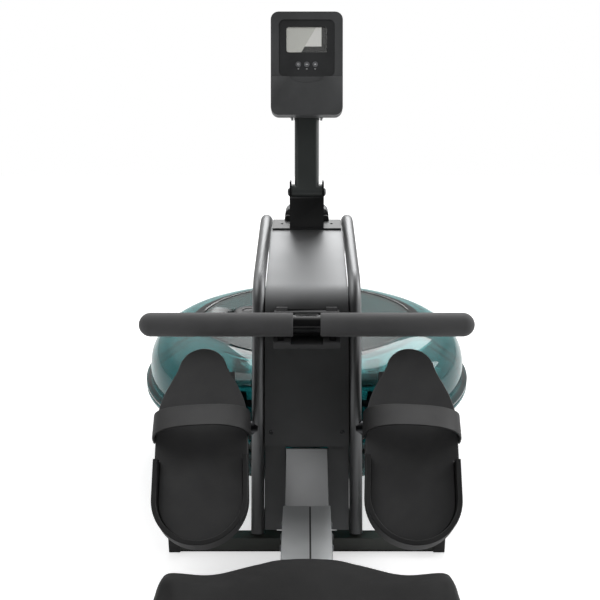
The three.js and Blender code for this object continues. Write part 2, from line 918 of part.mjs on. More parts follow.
function addLowerCover() {
  const ahead = legY(casingFootHeight) - casingFootY - lowerCoverRecess;
  const thick = casingWall / Math.cos(legLean);
  const top = casingFootHeight - fit;
  const plate = prismX([
    [legY(lowerCoverBottom) - ahead, lowerCoverBottom], [legY(lowerCoverBottom) - ahead + thick, lowerCoverBottom],
    [legY(top) - ahead + thick, top], [legY(top) - ahead, top],
  ], casingWidth);
  const height = casingFootHeight - neckTopGap + 2 * fit - lowerCoverNotch;
  const notch = box(neckWidth + 2 * fit, cutReach, height, 0, legY(top), lowerCoverNotch + height / 2);
  add('lower_cover', cut(plate, notch), casingPaint);
}

function addCoverScrews() {
  for (const [side, sign] of sides) {
    const head = casingScrew(sign * screwX, screwRadius, screwHeadHeight, screwHeadHeight + fit);
    const shank = casingScrew(sign * screwX, screwShankRadius, casingWall + overrun, screwHeadHeight);
    add(`${side}_cover_screw`, join(head, shank), steel);
  }
}

// Tank
const tankBottom = barTop + fit;
const lowerFlangeTop = flangeHeight - sealThickness / 2 - fit;
const upperFlangeBottom = flangeHeight + sealThickness / 2 + fit;
const flangeInner = tankBodyRadius - tankWall;
const boreOfBearing = bearingRadius + fit;
const boreOfShaft = shaftRadius + fit;
const lidHole = lidRadius + fit;
function addTankShells() {
  const lowerTop = lowerFlangeTop - flangeThickness;
  const drop = lowerTop - tankBottom;
  const lowerOuter = lowerShellShares.map(([r, h]) => [r * tankBodyRadius, lowerTop - h * drop]);
  const lowerInner = lowerShellShares.map(([r, h]) => [
    r * tankBodyRadius - tankWall, lowerTop - h * (drop - tankWall),
  ]);
  const cupTop = tankBottom + tankWall + bearingHeight + fit;
  const lower = turned([
    [0, tankBottom], ...lowerOuter.slice().reverse(), [flangeRadius, lowerTop], [flangeRadius, lowerFlangeTop],
    [flangeInner, lowerFlangeTop], ...lowerInner, [footBossRadius, tankBottom + tankWall],
    [footBossRadius, cupTop], [boreOfShaft, cupTop], [boreOfShaft, tankBottom + tankWall],
    [0, tankBottom + tankWall],
  ], tankSides).translate(0, tankY, 0);
  add('tank_lower_shell', lower, tankClear);

  const upperBase = upperFlangeBottom + flangeThickness;
  const rise = tankTop - upperBase;
  const upperOuter = upperShellShares.map(([r, h]) => [r * tankBodyRadius, upperBase + h * rise]);
  const upperInner = upperShellShares.map(([r, h]) => [
    r * tankBodyRadius - tankWall, upperBase + h * (rise - lidThickness - tankWall),
  ]);
  const shelf = tankTop - lidThickness - fit;
  const upper = turned([
    [flangeInner, upperFlangeBottom], [flangeRadius, upperFlangeBottom], [flangeRadius, upperBase],
    ...upperOuter, [lidHole + lidRebate, tankTop], [lidHole, tankTop], [lidHole, shelf],
    [lidHole - lidRebate, shelf], [lidHole - lidRebate, shelf - tankWall],
    ...upperInner.slice().reverse(),
  ], tankSides).translate(0, tankY, 0);
  add('tank_upper_shell', upper, tankClear);

  const seal = ringZ(sealRadius + sealWidth / 2, sealRadius - sealWidth / 2, sealThickness, tankSides);
  add('tank_seal', seal, webbing).position.set(0, tankY, flangeHeight);
}

const plugY = tankY + plugBack;

function addLid() {
  const top = tankTop;
  const bottom = tankTop - lidThickness;
  const bossTop = top + lidBossHeight;
  const seat = bossTop - bearingHeight - fit;
  const disc = turned([
    [boreOfShaft + runningGap, bottom], [lidRadius, bottom], [lidRadius, top], [lidBossRadius, top],
    [lidBossRadius, bossTop], [boreOfBearing, bossTop], [boreOfBearing, seat], [boreOfShaft + runningGap, seat],
  ], tankSides).translate(0, tankY, 0);
  const hole = rodZ(plugNeckRadius + fit, lidThickness + 2 * overrun, plugX, plugY, (top + bottom) / 2);
  add('tank_lid', cut(disc, hole), lidClear);
  const plug = turned([
    [0, -plugNeckDepth], [plugNeckRadius, -plugNeckDepth], [plugNeckRadius, fit], [plugRadius, fit],
    ...plugCapShares.map(([r, h]) => [r * plugRadius, h * plugCapHeight]),
  ]);
  add('fill_plug', plug, blackPlastic).position.set(plugX, plugY, tankTop);
}

function addImpeller() {
  const middle = (lowerFlangeTop + tankBottom) / 2;
  const hub = rodZ(hubRadius, hubHeight, 0, tankY, middle);
  const bladeCount = 6;
  const parts = [hub];
  for (let i = 0; i < bladeCount; i += 1) {
    const arm = box(impellerReach, bladeThickness, armHeight, impellerReach / 2, 0, middle);
    const blade = box(bladeLength, bladeThickness, bladeHeight, impellerReach - bladeLength / 2, 0, middle);
    for (const piece of [arm, blade]) {
      parts.push(piece.rotateZ((i / bladeCount) * Math.PI * 2).translate(0, tankY, 0));
    }
  }
  const bore = rodZ(boreOfShaft, hubHeight + 2 * overrun, 0, tankY, middle);
  add('impeller', cut(join(...parts), bore), blackPlastic);
  const foot = tankBottom + tankWall + fit;
  add('impeller_shaft', rodZ(shaftRadius, shaftTop - foot, 0, tankY, (shaftTop + foot) / 2), steel);
  const bearing = ringZ(bearingRadius, boreOfShaft, bearingHeight);
  add('shaft_bearing', bearing, steel).position.set(0, tankY, tankTop + lidBossHeight - bearingHeight / 2);
}

// Drive above the lid
const drumTop = drumBottom + drumHeight;
const drumMiddle = drumBottom + drumHeight / 2;
const windingRadius = drumRadius + 2 * fit + windingDepth;
const strapExitX = strapThickness / 2 - windingRadius;
const idlerHeight = handleHeight - strapThickness / 2 - fit - idlerRadius;
const lidSurface = tankTop + fit;

function addDrum() {
  const bore = clutchRadius + fit;
  const drum = turned([
    [bore, drumBottom], [drumFlangeRadius, drumBottom], [drumFlangeRadius, drumBottom + drumFlangeThickness],
    [drumRadius, drumBottom + drumFlangeThickness], [drumRadius, drumTop - drumFlangeThickness],
    [drumFlangeRadius, drumTop - drumFlangeThickness], [drumFlangeRadius, drumTop], [bore, drumTop],
  ]).translate(0, tankY, 0);
  add('strap_drum', drum, blackPlastic);
  add('one_way_clutch', ringZ(clutchRadius, boreOfShaft, drumHeight), steel).position.set(0, tankY, drumMiddle);
}

function addRecoilSpring() {
  const steps = (springTurns * roundSides) / 2;
  const inner = [];
  const outer = [];
  for (let i = 0; i <= steps; i += 1) {
    const angle = (i / steps) * springTurns * Math.PI * 2;
    const radius = springInnerRadius + ((springOuterRadius - springInnerRadius) * i) / steps;
    inner.push([radius * Math.cos(angle), radius * Math.sin(angle)]);
    outer.push([(radius + springThickness) * Math.cos(angle), (radius + springThickness) * Math.sin(angle)]);
  }
  const low = drumTop + runningGap;
  const spiral = prismZ(outline([...inner, ...outer.reverse()]), springHeight, low);
  add('recoil_spring', spiral.translate(0, tankY, 0), steel);
}

function addDriveBridge() {
  const half = bridgeWidth / 2;
  const floor = lidSurface;
  const ceiling = bridgeTop - bracketPlate;
  const shape = outline([
    [-half, floor], [-half, bridgeTop], [half, bridgeTop], [half, floor], [half - bridgeFoot, floor],
    [half - bridgeFoot, floor + bracketPlate], [half - bracketPlate, floor + bracketPlate],
    [half - bracketPlate, ceiling], [bracketPlate - half, ceiling], [bracketPlate - half, floor + bracketPlate],
    [bridgeFoot - half, floor + bracketPlate], [bridgeFoot - half, floor],
  ]);
  const strip = prismY(shape, bridgeDepth, tankY - bridgeDepth / 2);
  const cupInner = springOuterRadius + springThickness + fit;
  const low = drumTop + runningGap;
  const cup = turned([
    [0, ceiling], [cupInner, ceiling], [cupInner, low], [cupInner + springCupWall, low],
    [cupInner + springCupWall, bridgeTop], [0, bridgeTop],
  ]).translate(0, tankY, 0);
  add('drive_bridge', join(strip, cup), blackPaint);
}

function addIdler() {
  const half = idlerWidth / 2;
  const side = half + idlerFlangeThickness;
  const bore = idlerAxleRadius + 2 * fit;
  const profile = [
    [bore, -side], [idlerFlangeRadius, -side], [idlerFlangeRadius, -half], [idlerRadius, -half],
    [idlerRadius, half], [idlerFlangeRadius, half], [idlerFlangeRadius, side], [bore, side],
  ];
  add('idler_roller', turnedX(profile, roundSides / 2), blackPlastic).position.set(0, idlerY, idlerHeight);
  const inside = side + runningGap / 2;
  const width = 2 * (inside + bracketPlate);
  const base = box(width, idlerBracketDepth, bracketPlate, 0, idlerY, lidSurface + bracketPlate / 2);
  const cheeks = sides.map(([, sign]) => prismX([
    [idlerY - idlerBracketDepth / 2, lidSurface], [idlerY + idlerBracketDepth / 2, lidSurface],
    [idlerY + idlerBracketCrown, idlerHeight + idlerBracketCrown],
    [idlerY - idlerBracketCrown, idlerHeight + idlerBracketCrown],
  ], bracketPlate, sign * (inside + bracketPlate / 2)));
  const axle = rodX(idlerAxleRadius, width + bracketPlate, 0, idlerY, idlerHeight, roundSides / 2);
  add('idler_bracket', join(base, ...cheeks, axle), blackPaint);
}

// The strap wound on the drum, and its run from there to the idler, which twists a quarter.
function addStrapRun() {
  const rings = [];
  for (let i = 0; i <= runTurns; i += 1) {
    const share = i / runTurns;
    const ease = smooth(share / runSettleShare);
    const middle = new THREE.Vector3(
      strapExitX * ease,
      idlerY + fit + (tankY - idlerY - fit) * share,
      handleHeight + (drumMiddle - handleHeight) * ease,
    );
    const turn = (ease * Math.PI) / 2;
    const across = new THREE.Vector3(Math.cos(turn), 0, -Math.sin(turn)).multiplyScalar(strapWidth / 2);
    const through = new THREE.Vector3(Math.sin(turn), 0, Math.cos(turn)).multiplyScalar(strapThickness / 2);
    rings.push([[1, 1], [-1, 1], [-1, -1], [1, -1]].map(([a, b]) => (
      middle.clone().addScaledVector(across, a).addScaledVector(through, b)
    )));
  }
  const winding = ringZ(windingRadius, drumRadius + 2 * fit, strapWidth).translate(0, tankY, drumMiddle);
  add('strap_run', join(winding, loft(rings)), webbing);
}

// Handle
function addHandle() {
  const barHalf = handleLength / 2 - gripRadius;
  const inner = handleBarRadius - handleBarWall;
  const tube = turnedX([
    [inner, -barHalf], [handleBarRadius, -barHalf], [handleBarRadius, barHalf], [inner, barHalf],
  ]);
  const block = box(anchorWidth, anchorReach, anchorHeight, 0, anchorReach / 2, 0);
  const bar = add('handle_bar', join(tube, cut(block, rodX(inner + handleBarWall / 2, 2 * anchorWidth))), barMetal);
  bar.position.set(0, handleY, handleHeight);
  const bore = handleBarRadius + fit;
  const domeSteps = arcSteps / 2;
  const dome = Array.from({ length: domeSteps + 1 }, (_, i) => {
    const angle = (i / domeSteps) * (Math.PI / 2);
    return [gripRadius * Math.cos(angle), barHalf + gripRadius * Math.sin(angle)];
  });
  const start = gripGap / 2;
  const profile = [[bore, start], [gripRadius, start], ...dome, [0, barHalf + fit], [bore, barHalf + fit]];
  add('right_grip', turnedX(profile), gripFoam).position.copy(bar.position);
  add('left_grip', turnedX(profile.map(([r, x]) => [r, -x])), gripFoam).position.copy(bar.position);
  const spanStart = handleY + anchorReach + fit;
  const span = idlerY - fit - spanStart;
  add('strap_span', box(strapWidth, span, strapThickness), webbing)
    .position.set(0, spanStart + span / 2, handleHeight);
}

function addCradle() {
  const faceGap = fit / Math.cos(casingLean);
  const backY = (height) => casingY(height) - faceGap;
  const floorTop = cradleBottom + cradleFloor;
  const block = prismX([
    [cradleFrontY, cradleBottom], [backY(cradleBottom), cradleBottom], [backY(cradleBackTop), cradleBackTop],
    [backY(cradleBackTop) - cradleBackThickness, cradleBackTop],
    [backY(cradleBackTop) - cradleBackThickness, handleHeight],
    [handleY, handleHeight - gripRadius], [cradleFrontY, cradleLipTop],
  ], cradleWidth);
  const prongs = sides.map(([, side]) => prismX([
    [backY(cradleBottom) - overrun, cradleBottom + overrun], [backY(cradleBottom), cradleBottom + overrun],
    [backY(cradleProngTop), cradleProngTop], [backY(cradleProngTop) - cradleBackThickness / 2, cradleProngTop],
    [backY(cradleBackTop) - cradleBackThickness, cradleBackTop - overrun],
  ], cradleProngWidth, side * (cradleOpening / 2 + cradleProngInset / 2 + cradleProngWidth / 2)));
  const seat = rodX(gripRadius + fit, cradleWidth + 2 * overrun, 0, handleY, handleHeight);
  const away = box(cradleWidth + 2 * overrun, cutReach, 2 * gripRadius + 2 * fit,
    0, handleY - cutReach / 2, handleHeight);
  const opening = box(cradleOpening, cutReach, cradleBackTop - floorTop - cradleFloor,
    0, handleY + cradleLipThickness - overrun / 2, (cradleBackTop - cradleFloor + floorTop) / 2);
  const pockets = sides.map(([, side]) => box(
    cradlePocketWidth, cradlePocketDepth, handleHeight - floorTop,
    side * (cradleWidth / 2 - cradlePocketWidth), cradleFrontY + cradleLipThickness + cradlePocketDepth / 2,
    (floorTop + handleHeight) / 2,
  ));
  add('handle_cradle', cut(join(block, ...prongs), seat, away, opening, ...pockets), blackPlastic);
}

// Post bracket: a sloped plate on the casing, two ears, a front web and a rear stop
function addPostBracket() {
  const rear = postBracketY + postBracketDepth;
  const clear = fit / Math.cos(casingLean);
  const under = offset(casingLine(), clear).filter((p) => p.x > postBracketY && p.x < rear);
  const slopeAt = (y) => {
    const line = offset(casingLine(), clear);
    const i = line.findIndex((p) => p.x > y);
    const share = (y - line[i - 1].x) / (line[i].x - line[i - 1].x);
    return line[i - 1].y + share * (line[i].y - line[i - 1].y);
  };
  const plate = prismX([
    [postBracketY, slopeAt(postBracketY)], ...under.map((p) => [p.x, p.y]), [rear, slopeAt(rear)],
    [rear, bracketPlateRear], [postBracketY, bracketPlateFront],
  ], postBracketWidth);
  const earFoot = (bracketPlateFront + slopeAt(postBracketY)) / 2;
  const ears = sides.map(([, side]) => prismX([
    [postBracketY + postBracketEar, earFoot], [rear - fit, earFoot + postBracketPlate * 2],
    [rear - fit, postPivotHeight], [postPivotY + earChamfer, postPivotHeight + earTipRise],
    [postPivotY - earChamfer, postPivotHeight + earTipRise], [postBracketY + postBracketEar, postPivotHeight - earChamfer],
  ], postBracketEar, side * (postBracketOuter - postBracketEar) / 2));
  const web = prismX([
    [postBracketY + postBracketEar, earFoot], [postBracketY + 2 * postBracketEar, earFoot],
    [postBracketY + 2 * postBracketEar, bracketWebHeight], [postBracketY + postBracketEar, bracketWebHeight],
  ], postBracketOuter - postBracketEar);
  const stopBase = slopeAt(rear - postBracketEar) + fit;
  const stopHeight = stopBlockTop - stopBase;
  const stopShape = roundedRect(stopBlockWidth, stopHeight, stopBlockCorner, 0, stopBase + stopHeight / 2);
  const stop = prismY(stopShape, stopBlockDepth + postBracketEar, rear - postBracketEar);
  const pivotHole = rodX(pivotBoltRadius + fit, postBracketOuter + 2 * overrun, 0, postPivotY, postPivotHeight);
  const screwHoles = sides.map(([, side]) => (
    bracketScrew((side * bracketHoleSpacing) / 2, bracketHoleRadius, cutReach, cutReach / 2)
  ));
  add('post_bracket', cut(join(plate, ...ears, web, stop), pivotHole, ...screwHoles), blackPaint);

  const half = postBracketOuter / 2 + fit;
  const dome = [
    ...boltHeadShares.map(([r, h]) => [r * pivotHeadRadius, half + h * pivotHeadHeight]), [pivotBoltRadius, half],
  ];
  const bolt = turnedX([...dome, ...dome.slice().reverse().map(([r, x]) => [r, -x])], roundSides / 2);
  add('pivot_bolt', bolt, steel).position.set(0, postPivotY, postPivotHeight);
}

// Post: everything here is measured from the fold pivot, before the post is leaned
const post = new THREE.Group();
post.position.set(0, postPivotY, postPivotHeight);
post.rotation.x = -radians(postLean);
machine.add(post);

function addPost() {
  const barrelWidth = postBracketOuter - 2 * postBracketEar - 2 * fit;
  const tube = prismZ(roundedRect(postWidth, postDepth, postCorner), postLength);
  const barrel = rodX(postBarrelRadius, barrelWidth);
  const collar = prismZ(roundedRect(postCollarWidth, postCollarDepth, postCorner), postCollarHeight, postLength - postWall);
  const hollow = prismZ(
    roundedRect(postWidth - 2 * postWall, postDepth - 2 * postWall, postCorner - postWall),
    postLength, postBarrelRadius + postWall,
  );
  const bore = rodX(pivotBoltRadius + fit, barrelWidth + 2 * overrun);
  const hinge = rodX(consoleBoltRadius + fit, postCollarWidth + 2 * overrun, 0, 0, postHingeRise, roundSides / 2);
  add('console_post', cut(join(tube, barrel, collar), hollow, bore, hinge), tubePaint, post);
  const ear = consoleEarInside + consoleEarThickness + fit;
  const head = [
    ...boltHeadShares.map(([r, h]) => [r * consoleBoltHead, ear + h * consoleBoltHeadHeight]), [consoleBoltRadius, ear],
  ];
  const bolt = turnedX([...head, ...head.slice().reverse().map(([r, x]) => [r, -x])], roundSides / 2);
  add('console_bolt', bolt, steel, post).position.set(0, 0, postHingeRise);
}

// Console: everything here is measured from its hinge, before the console is tilted
const display = new THREE.Group();
display.position.set(
  0,
  postPivotY + postHingeRise * Math.sin(radians(postLean)),
  postPivotHeight + postHingeRise * Math.cos(radians(postLean)),
);
display.rotation.x = -radians(consoleTilt);
machine.add(display);

const consoleEarInside = postCollarWidth / 2 + fit + runningGap / 2;
const consoleMiddle = consoleHeight / 2 - consoleDrop;
const consoleTopEdge = consoleHeight - consoleDrop;
const screenMiddle = consoleTopEdge - screenDrop - screenHeight / 2;
const keyLine = consoleTopEdge - keyDrop;
const boardFront = -consoleFront + consoleFaceWall + displayThickness + fit;

function addConsole() {
  const front = prismY(roundedRect(consoleWidth, consoleHeight, consoleCorner, 0, consoleMiddle),
    consoleFrontShell, -consoleFront);
  const insideShape = roundedRect(
    consoleWidth - 2 * consoleWall, consoleHeight - 2 * consoleWall, consoleCorner - consoleWall, 0, consoleMiddle,
  );
  const frontHollow = prismY(insideShape, consoleFrontShell, -consoleFront + consoleFaceWall);
  const faceMiddle = consoleTopEdge - faceTop - faceHeight / 2;
  const recess = prismY(roundedRect(faceWidth, faceHeight, faceCorner, 0, faceMiddle),
    faceRecess + overrun, -consoleFront - overrun);
  const faceBottom = faceMiddle - faceHeight / 2;
  const scoopSteps = roundSides / 2;
  const scoopLine = Array.from({ length: scoopSteps + 1 }, (_, i) => {
    const angle = Math.PI * (1 + i / scoopSteps);
    return [(faceScoopWidth / 2) * Math.cos(angle), faceBottom + faceScoopDepth * Math.sin(angle)];
  });
  const scoopTop = faceBottom + overrun;
  const scoopShape = outline([...scoopLine, [faceScoopWidth / 2, scoopTop], [-faceScoopWidth / 2, scoopTop]]);
  const scoop = prismY(scoopShape, faceRecess + overrun, -consoleFront - overrun);
  const belowFace = box(consoleWidth + overrun, consoleThickness, consoleHeight, 0, -consoleFront,
    faceBottom + consoleHeight / 2);
  const lowerPanel = cut(
    prismY(roundedRect(consoleWidth, consoleHeight, consoleCorner, 0, consoleMiddle),
      lowerPanelProud + consoleFaceWall / 2, -consoleFront - lowerPanelProud),
    belowFace,
  );
  const window = prismY(roundedRect(screenWidth, screenHeight, screenCorner, 0, screenMiddle),
    consoleFaceWall + 2 * overrun, -consoleFront - overrun);
  const keyHoles = [-1, 0, 1].map((i) => (
    rodY(keyRadius + fit, consoleFaceWall + 2 * overrun, i * keyPitch, -consoleFront, keyLine, roundSides / 2)
  ));
  add('console_front', cut(join(front, lowerPanel), frontHollow, recess, scoop, window, ...keyHoles), consolePlastic, display);

  const seam = -consoleFront + consoleFrontShell + fit;
  const backDepth = consoleThickness - consoleFrontShell - fit;
  const rear = seam + backDepth;
  const back = prismY(roundedRect(consoleWidth, consoleHeight, consoleCorner, 0, consoleMiddle), backDepth, seam);
  const backHollow = prismY(insideShape, backDepth, seam - consoleWall);
  const ears = sides.flatMap(([, side]) => {
    const x = side * (consoleEarInside + consoleEarThickness / 2);
    return [
      rodX(consoleEarRadius, consoleEarThickness, x, 0, 0),
      box(consoleEarThickness, -rear + consoleWall / 2, 2 * consoleEarRadius, x, (rear - consoleWall / 2) / 2, 0),
    ];
  });
  const hinge = rodX(consoleBoltRadius + fit, consoleWidth, 0, 0, 0, roundSides / 2);
  add('console_back', cut(join(cut(back, backHollow), ...ears), hinge), consolePlastic, display);

  const lensFront = -consoleFront + faceRecess;
  const lens = prismY(roundedRect(screenWidth - 2 * fit, screenHeight - 2 * fit, screenCorner - fit, 0, screenMiddle),
    lensThickness - fit, lensFront);
  add('screen_lens', lens, lensClear, display);
  const glass = box(
    screenWidth + 2 * screenCorner, displayThickness, screenHeight + 2 * screenCorner,
    0, boardFront - displayThickness / 2, screenMiddle,
  );
  const board = box(
    faceWidth, boardThickness, faceHeight, 0, boardFront + boardThickness / 2 - fit, faceMiddle,
  );
  add('display_board', join(glass, board), boardGreen, display);

  const names = ['key_left', 'key_middle', 'key_right'];
  names.forEach((name, i) => {
    const key = new THREE.CylinderGeometry(keyRadius, keyRadius, keyHeight, roundSides / 2);
    const mesh = add(name, key, keyRubber, display);
    mesh.position.set((i - 1) * keyPitch, -consoleFront + faceRecess - keyProud + keyHeight / 2, keyLine);
  });
}

// Pedals: a plate is measured from its heel, Y along it and Z square to it, before it is sloped
const axleAlong = [legY(pedalAxleHeight) - heelY, pedalAxleHeight - heelHeight];
const slopeCos = Math.cos(radians(pedalSlope));
const slopeSin = Math.sin(radians(pedalSlope));
const axleV = axleAlong[0] * slopeCos + axleAlong[1] * slopeSin;
const axleW = -axleAlong[0] * slopeSin + axleAlong[1] * slopeCos;
const heelCentre = plateHeelRadius + cupWall - heelInset;

function plateShape() {
  const shape = new THREE.Shape();
  const toeMiddle = plateLength - plateToeRadius;
  const toeTurn = radians(10);
  const toeX = plateToeRadius * Math.cos(toeTurn);
  const toeV = toeMiddle + plateToeRadius * Math.sin(toeTurn);
  const taper = plateShoulder - plateTaperStart;
  shape.absarc(0, heelCentre, plateHeelRadius, Math.PI, Math.PI * 2);
  shape.lineTo(plateHeelRadius, plateStep);
  shape.lineTo(plateHalfWidth, plateStep + cupWall / 2);
  shape.lineTo(plateHalfWidth, plateTaperStart);
  shape.bezierCurveTo(plateHalfWidth, plateShoulder, toeX + taper * Math.sin(toeTurn), toeV - taper / 2, toeX, toeV);
  shape.absarc(0, toeMiddle, plateToeRadius, toeTurn, Math.PI - toeTurn);
  shape.bezierCurveTo(-toeX - taper * Math.sin(toeTurn), toeV - taper / 2, -plateHalfWidth, plateShoulder,
    -plateHalfWidth, plateTaperStart);
  shape.lineTo(-plateHalfWidth, plateStep + cupWall / 2);
  shape.lineTo(-plateHeelRadius, plateStep);
  shape.closePath();
  return shape;
}

function cupShape() {
  const [outer, inner] = [plateHeelRadius + cupWall, plateHeelRadius + fit];
  const end = plateStep - runningGap;
  const shape = new THREE.Shape();
  shape.moveTo(-outer, end);
  shape.absarc(0, heelCentre, outer, Math.PI, Math.PI * 2);
  shape.lineTo(outer, end);
  shape.lineTo(inner, end);
  shape.absarc(0, heelCentre, inner, Math.PI * 2, Math.PI, true);
  shape.lineTo(-inner, end);
  shape.closePath();
  return shape;
}

function cupFloorShape() {
  const outer = plateHeelRadius + cupWall;
  const shape = new THREE.Shape();
  shape.moveTo(-outer, cupFloorLength);
  shape.absarc(0, heelCentre, outer, Math.PI, Math.PI * 2);
  shape.lineTo(outer, cupFloorLength);
  shape.closePath();
  return shape;
}

function footStrap() {
  const half = plateHalfWidth + 3 * fit + footStrapThickness;
  const steps = roundSides - 2 * arcSteps + 2;
  const rings = [];
  for (let i = 0; i <= steps; i += 1) {
    const angle = (Math.PI * i) / steps;
    const out = -Math.sign(Math.cos(angle)) * Math.abs(Math.cos(angle)) ** 0.8;
    const up = Math.sin(angle) ** 0.75;
    const point = (width, rise, v, thin) => new THREE.Vector3(
      (width - thin) * out, v, (rise + footStrapHang - thin) * up - footStrapHang,
    );
    const end = footStrapStart + footStrapWidth;
    rings.push([
      point(half, footStrapHeelRise, footStrapStart, 0), point(half, footStrapToeRise, end, 0),
      point(half, footStrapToeRise, end, footStrapThickness),
      point(half, footStrapHeelRise, footStrapStart, footStrapThickness),
    ]);
  }
  return loft(rings);
}

function addPedals() {
  for (const [side, sign] of sides) {
    const pedal = new THREE.Group();
    pedal.position.set(sign * pedalX, heelY, heelHeight);
    pedal.rotation.x = radians(pedalSlope);
    machine.add(pedal);
    const toed = (geometry) => geometry.rotateZ(-sign * radians(pedalToeOut));
    const ribs = [-1, 1].map((end) => prismX([
      [axleV - pedalRibLength / 2, -pedalRibRoot], [axleV - pedalBossRadius, axleW],
      [axleV + pedalBossRadius, axleW], [axleV + pedalRibLength / 2, -pedalRibRoot],
    ], pedalRibThickness, (end * pedalRibSpacing) / 2));
    const bossLength = pedalRibSpacing + pedalRibThickness;
    const boss = rodX(pedalBossRadius, bossLength, 0, axleV, axleW);
    const bore = rodX(pedalAxleRadius + fit, bossLength + 2 * overrun, 0, axleV, axleW);
    const body = cut(join(toed(prismZ(plateShape(), plateThickness, -plateThickness)), ...ribs, boss), bore);
    add(`${side}_foot_plate`, body, pedalPlastic, pedal);
    const cupLow = -plateThickness - fit - cupFloor;
    const wall = prismZ(cupShape(), cupRise - cupLow, cupLow);
    const floor = prismZ(cupFloorShape(), cupFloor, cupLow);
    add(`${side}_heel_cup`, toed(join(wall, floor)), strapRubber, pedal);
    add(`${side}_foot_strap`, toed(footStrap()), strapRubber, pedal);
  }
}

// Seat: measured from the middle of the carriage
const seat = new THREE.Group();
seat.position.y = seatY;
machine.add(seat);

// How far the pad's front edge runs: a nose between two hollows, and wing tips that come forward a little
function seatFront(x) {
  const wide = Math.abs(x);
  const arc = seatNoseArc * Math.min(wide / seatNoseHalf, 1) ** 2;
  const fall = 1 - Math.min(Math.max((wide - seatNoseHalf) / seatNoseRun, 0), 1);
  const tip = seatTip * smooth((wide - seatNoseHalf - seatNoseRun) / seatTipRun);
  return seatDepth / 2 - arc - seatNose * (1 - fall * fall) + tip;
}

// The pad is a skin over cross sections: flat below, crowned above, with two hollows, drawn-in ends
// and a bevel along the front of each wing.
function seatPad() {
  const bottom = carriageTop + fit;
  const [across, along] = [28, 18];
  const rings = [];
  for (let i = 0; i <= across; i += 1) {
    const u = Math.sin((Math.PI / 2) * ((2 * i) / across - 1));
    const x = (u * seatWidth) / 2;
    const turn = Math.max(Math.abs(x) - seatWidth / 2 + seatCorner, 0) / seatCorner;
    const corner = seatCorner * (1 - Math.sqrt(Math.max(1 - turn * turn, 0)));
    const front = seatFront(x) - corner;
    const rear = corner - seatDepth / 2 + seatRearNotch * (1 - smooth(Math.abs(x) / seatNotchRun));
    const side = (1 - Math.abs(u) ** 28) ** 0.4;
    const bevelRun = seatBevelRun * smooth((Math.abs(x) - seatNoseHalf) / (seatNoseRun / 2));
    const ring = [];
    for (let j = 0; j <= along; j += 1) {
      const s = -Math.cos((Math.PI * j) / along);
      const crown = (1 - Math.abs(s) ** 24) ** 0.4;
      const y = (rear + front) / 2 + (s * (front - rear)) / 2;
      const bevel = (seatBevelDrop / seatBevelRun) * Math.max(bevelRun - (front - y), 0);
      const hollow = seatHollow * Math.sin(Math.PI * Math.min(Math.abs(u) * 1.15, 1)) ** 2 * (1 - s * s);
      const z = bottom + seatRim + ((seatThickness - seatRim) * side - bevel) * crown - hollow;
      ring.push(new THREE.Vector3(x, y, Math.max(z, bottom + seatRim)));
    }
    ring.push(new THREE.Vector3(x, front, bottom), new THREE.Vector3(x, rear, bottom));
    rings.push(ring);
  }
  return loft(rings);
}

function addSeat() {
  add('seat_pad', seatPad(), seatFoam, seat);
  const half = carriageWidth / 2;
  const wing = box(carriageWing, carriageWingDepth, carriagePlate, 0, 0, carriageTop - carriagePlate / 2);
  const roof = box(carriageWidth, carriageLength, carriagePlate, 0, 0, carriageTop - carriagePlate / 2);
  const bottom = railBottom - runningGap - carriagePlate;
  const height = carriageTop - bottom;
  const cheeks = sides.flatMap(([, side]) => [
    box(carriagePlate, carriageLength, height, side * (half - carriagePlate / 2), 0, bottom + height / 2),
    box(carriageLip, carriageLength, carriagePlate, side * (half - carriageLip / 2), 0, bottom + carriagePlate / 2),
  ]);
  const upper = railTopHeight + fit + rollerRadius;
  const places = [['front', rollerBase / 2], ['rear', -rollerBase / 2]];
  const axles = places.map(([, y]) => (
    rodX(rollerAxleRadius, carriageWidth + carriagePlate, 0, y, upper, roundSides / 2)
  ));
  add('seat_carriage', join(wing, roof, ...cheeks, ...axles), blackPaint, seat);
  const [outer, inner] = [rollerSpacing / 2 + rollerWidth / 2, rollerSpacing / 2 - rollerWidth / 2];
  const bore = rollerAxleRadius + 2 * fit;
  const spool = [
    [bore, -outer], [rollerRadius, -outer], [rollerRadius, -inner], [rollerHubRadius, -inner],
    [rollerHubRadius, inner], [rollerRadius, inner], [rollerRadius, outer], [bore, outer],
  ];
  for (const [place, y] of places) {
    add(`${place}_roller`, turnedX(spool, roundSides / 2), tyreRubber, seat).position.set(0, y, upper);
  }
}

addBaseFrame();
addShoes();
addArchTubes();
addRailNeck();
addRail();
addRailBolts();
addRailEndCap();
addRearFoot();
addWheels();
addCasingCover();
addLowerCover();
addCoverScrews();
addTankShells();
addLid();
addImpeller();
addDrum();
addRecoilSpring();
addDriveBridge();
addIdler();
addStrapRun();
addHandle();
addCradle();
addPostBracket();
addPost();
addConsole();
addPedals();
addSeat();

// The origin goes to the middle of the footprint
const frontEnd = wheelY + wheelRadius;
const rearEnd = railRearY - fit - railCapFlange;
machine.position.y = -(frontEnd + rearEnd) / 2;
const group = new THREE.Group();
group.add(machine);

export default group;
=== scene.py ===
"""A water rowing machine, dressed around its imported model.

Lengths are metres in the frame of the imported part: +X to the rower's right, +Y from the seat to the
tank, +Z up, with the origin on the floor at the middle of the footprint.
"""

from __future__ import annotations

import json
import logging
import math
from dataclasses import dataclass
from enum import Enum

import bmesh
import bpy
import numpy as np
from bpy.types import ID, Material, Mesh, Node, NodeSocket, Object, ShaderNodeTree, bpy_prop_collection
from mathutils import Matrix, Vector


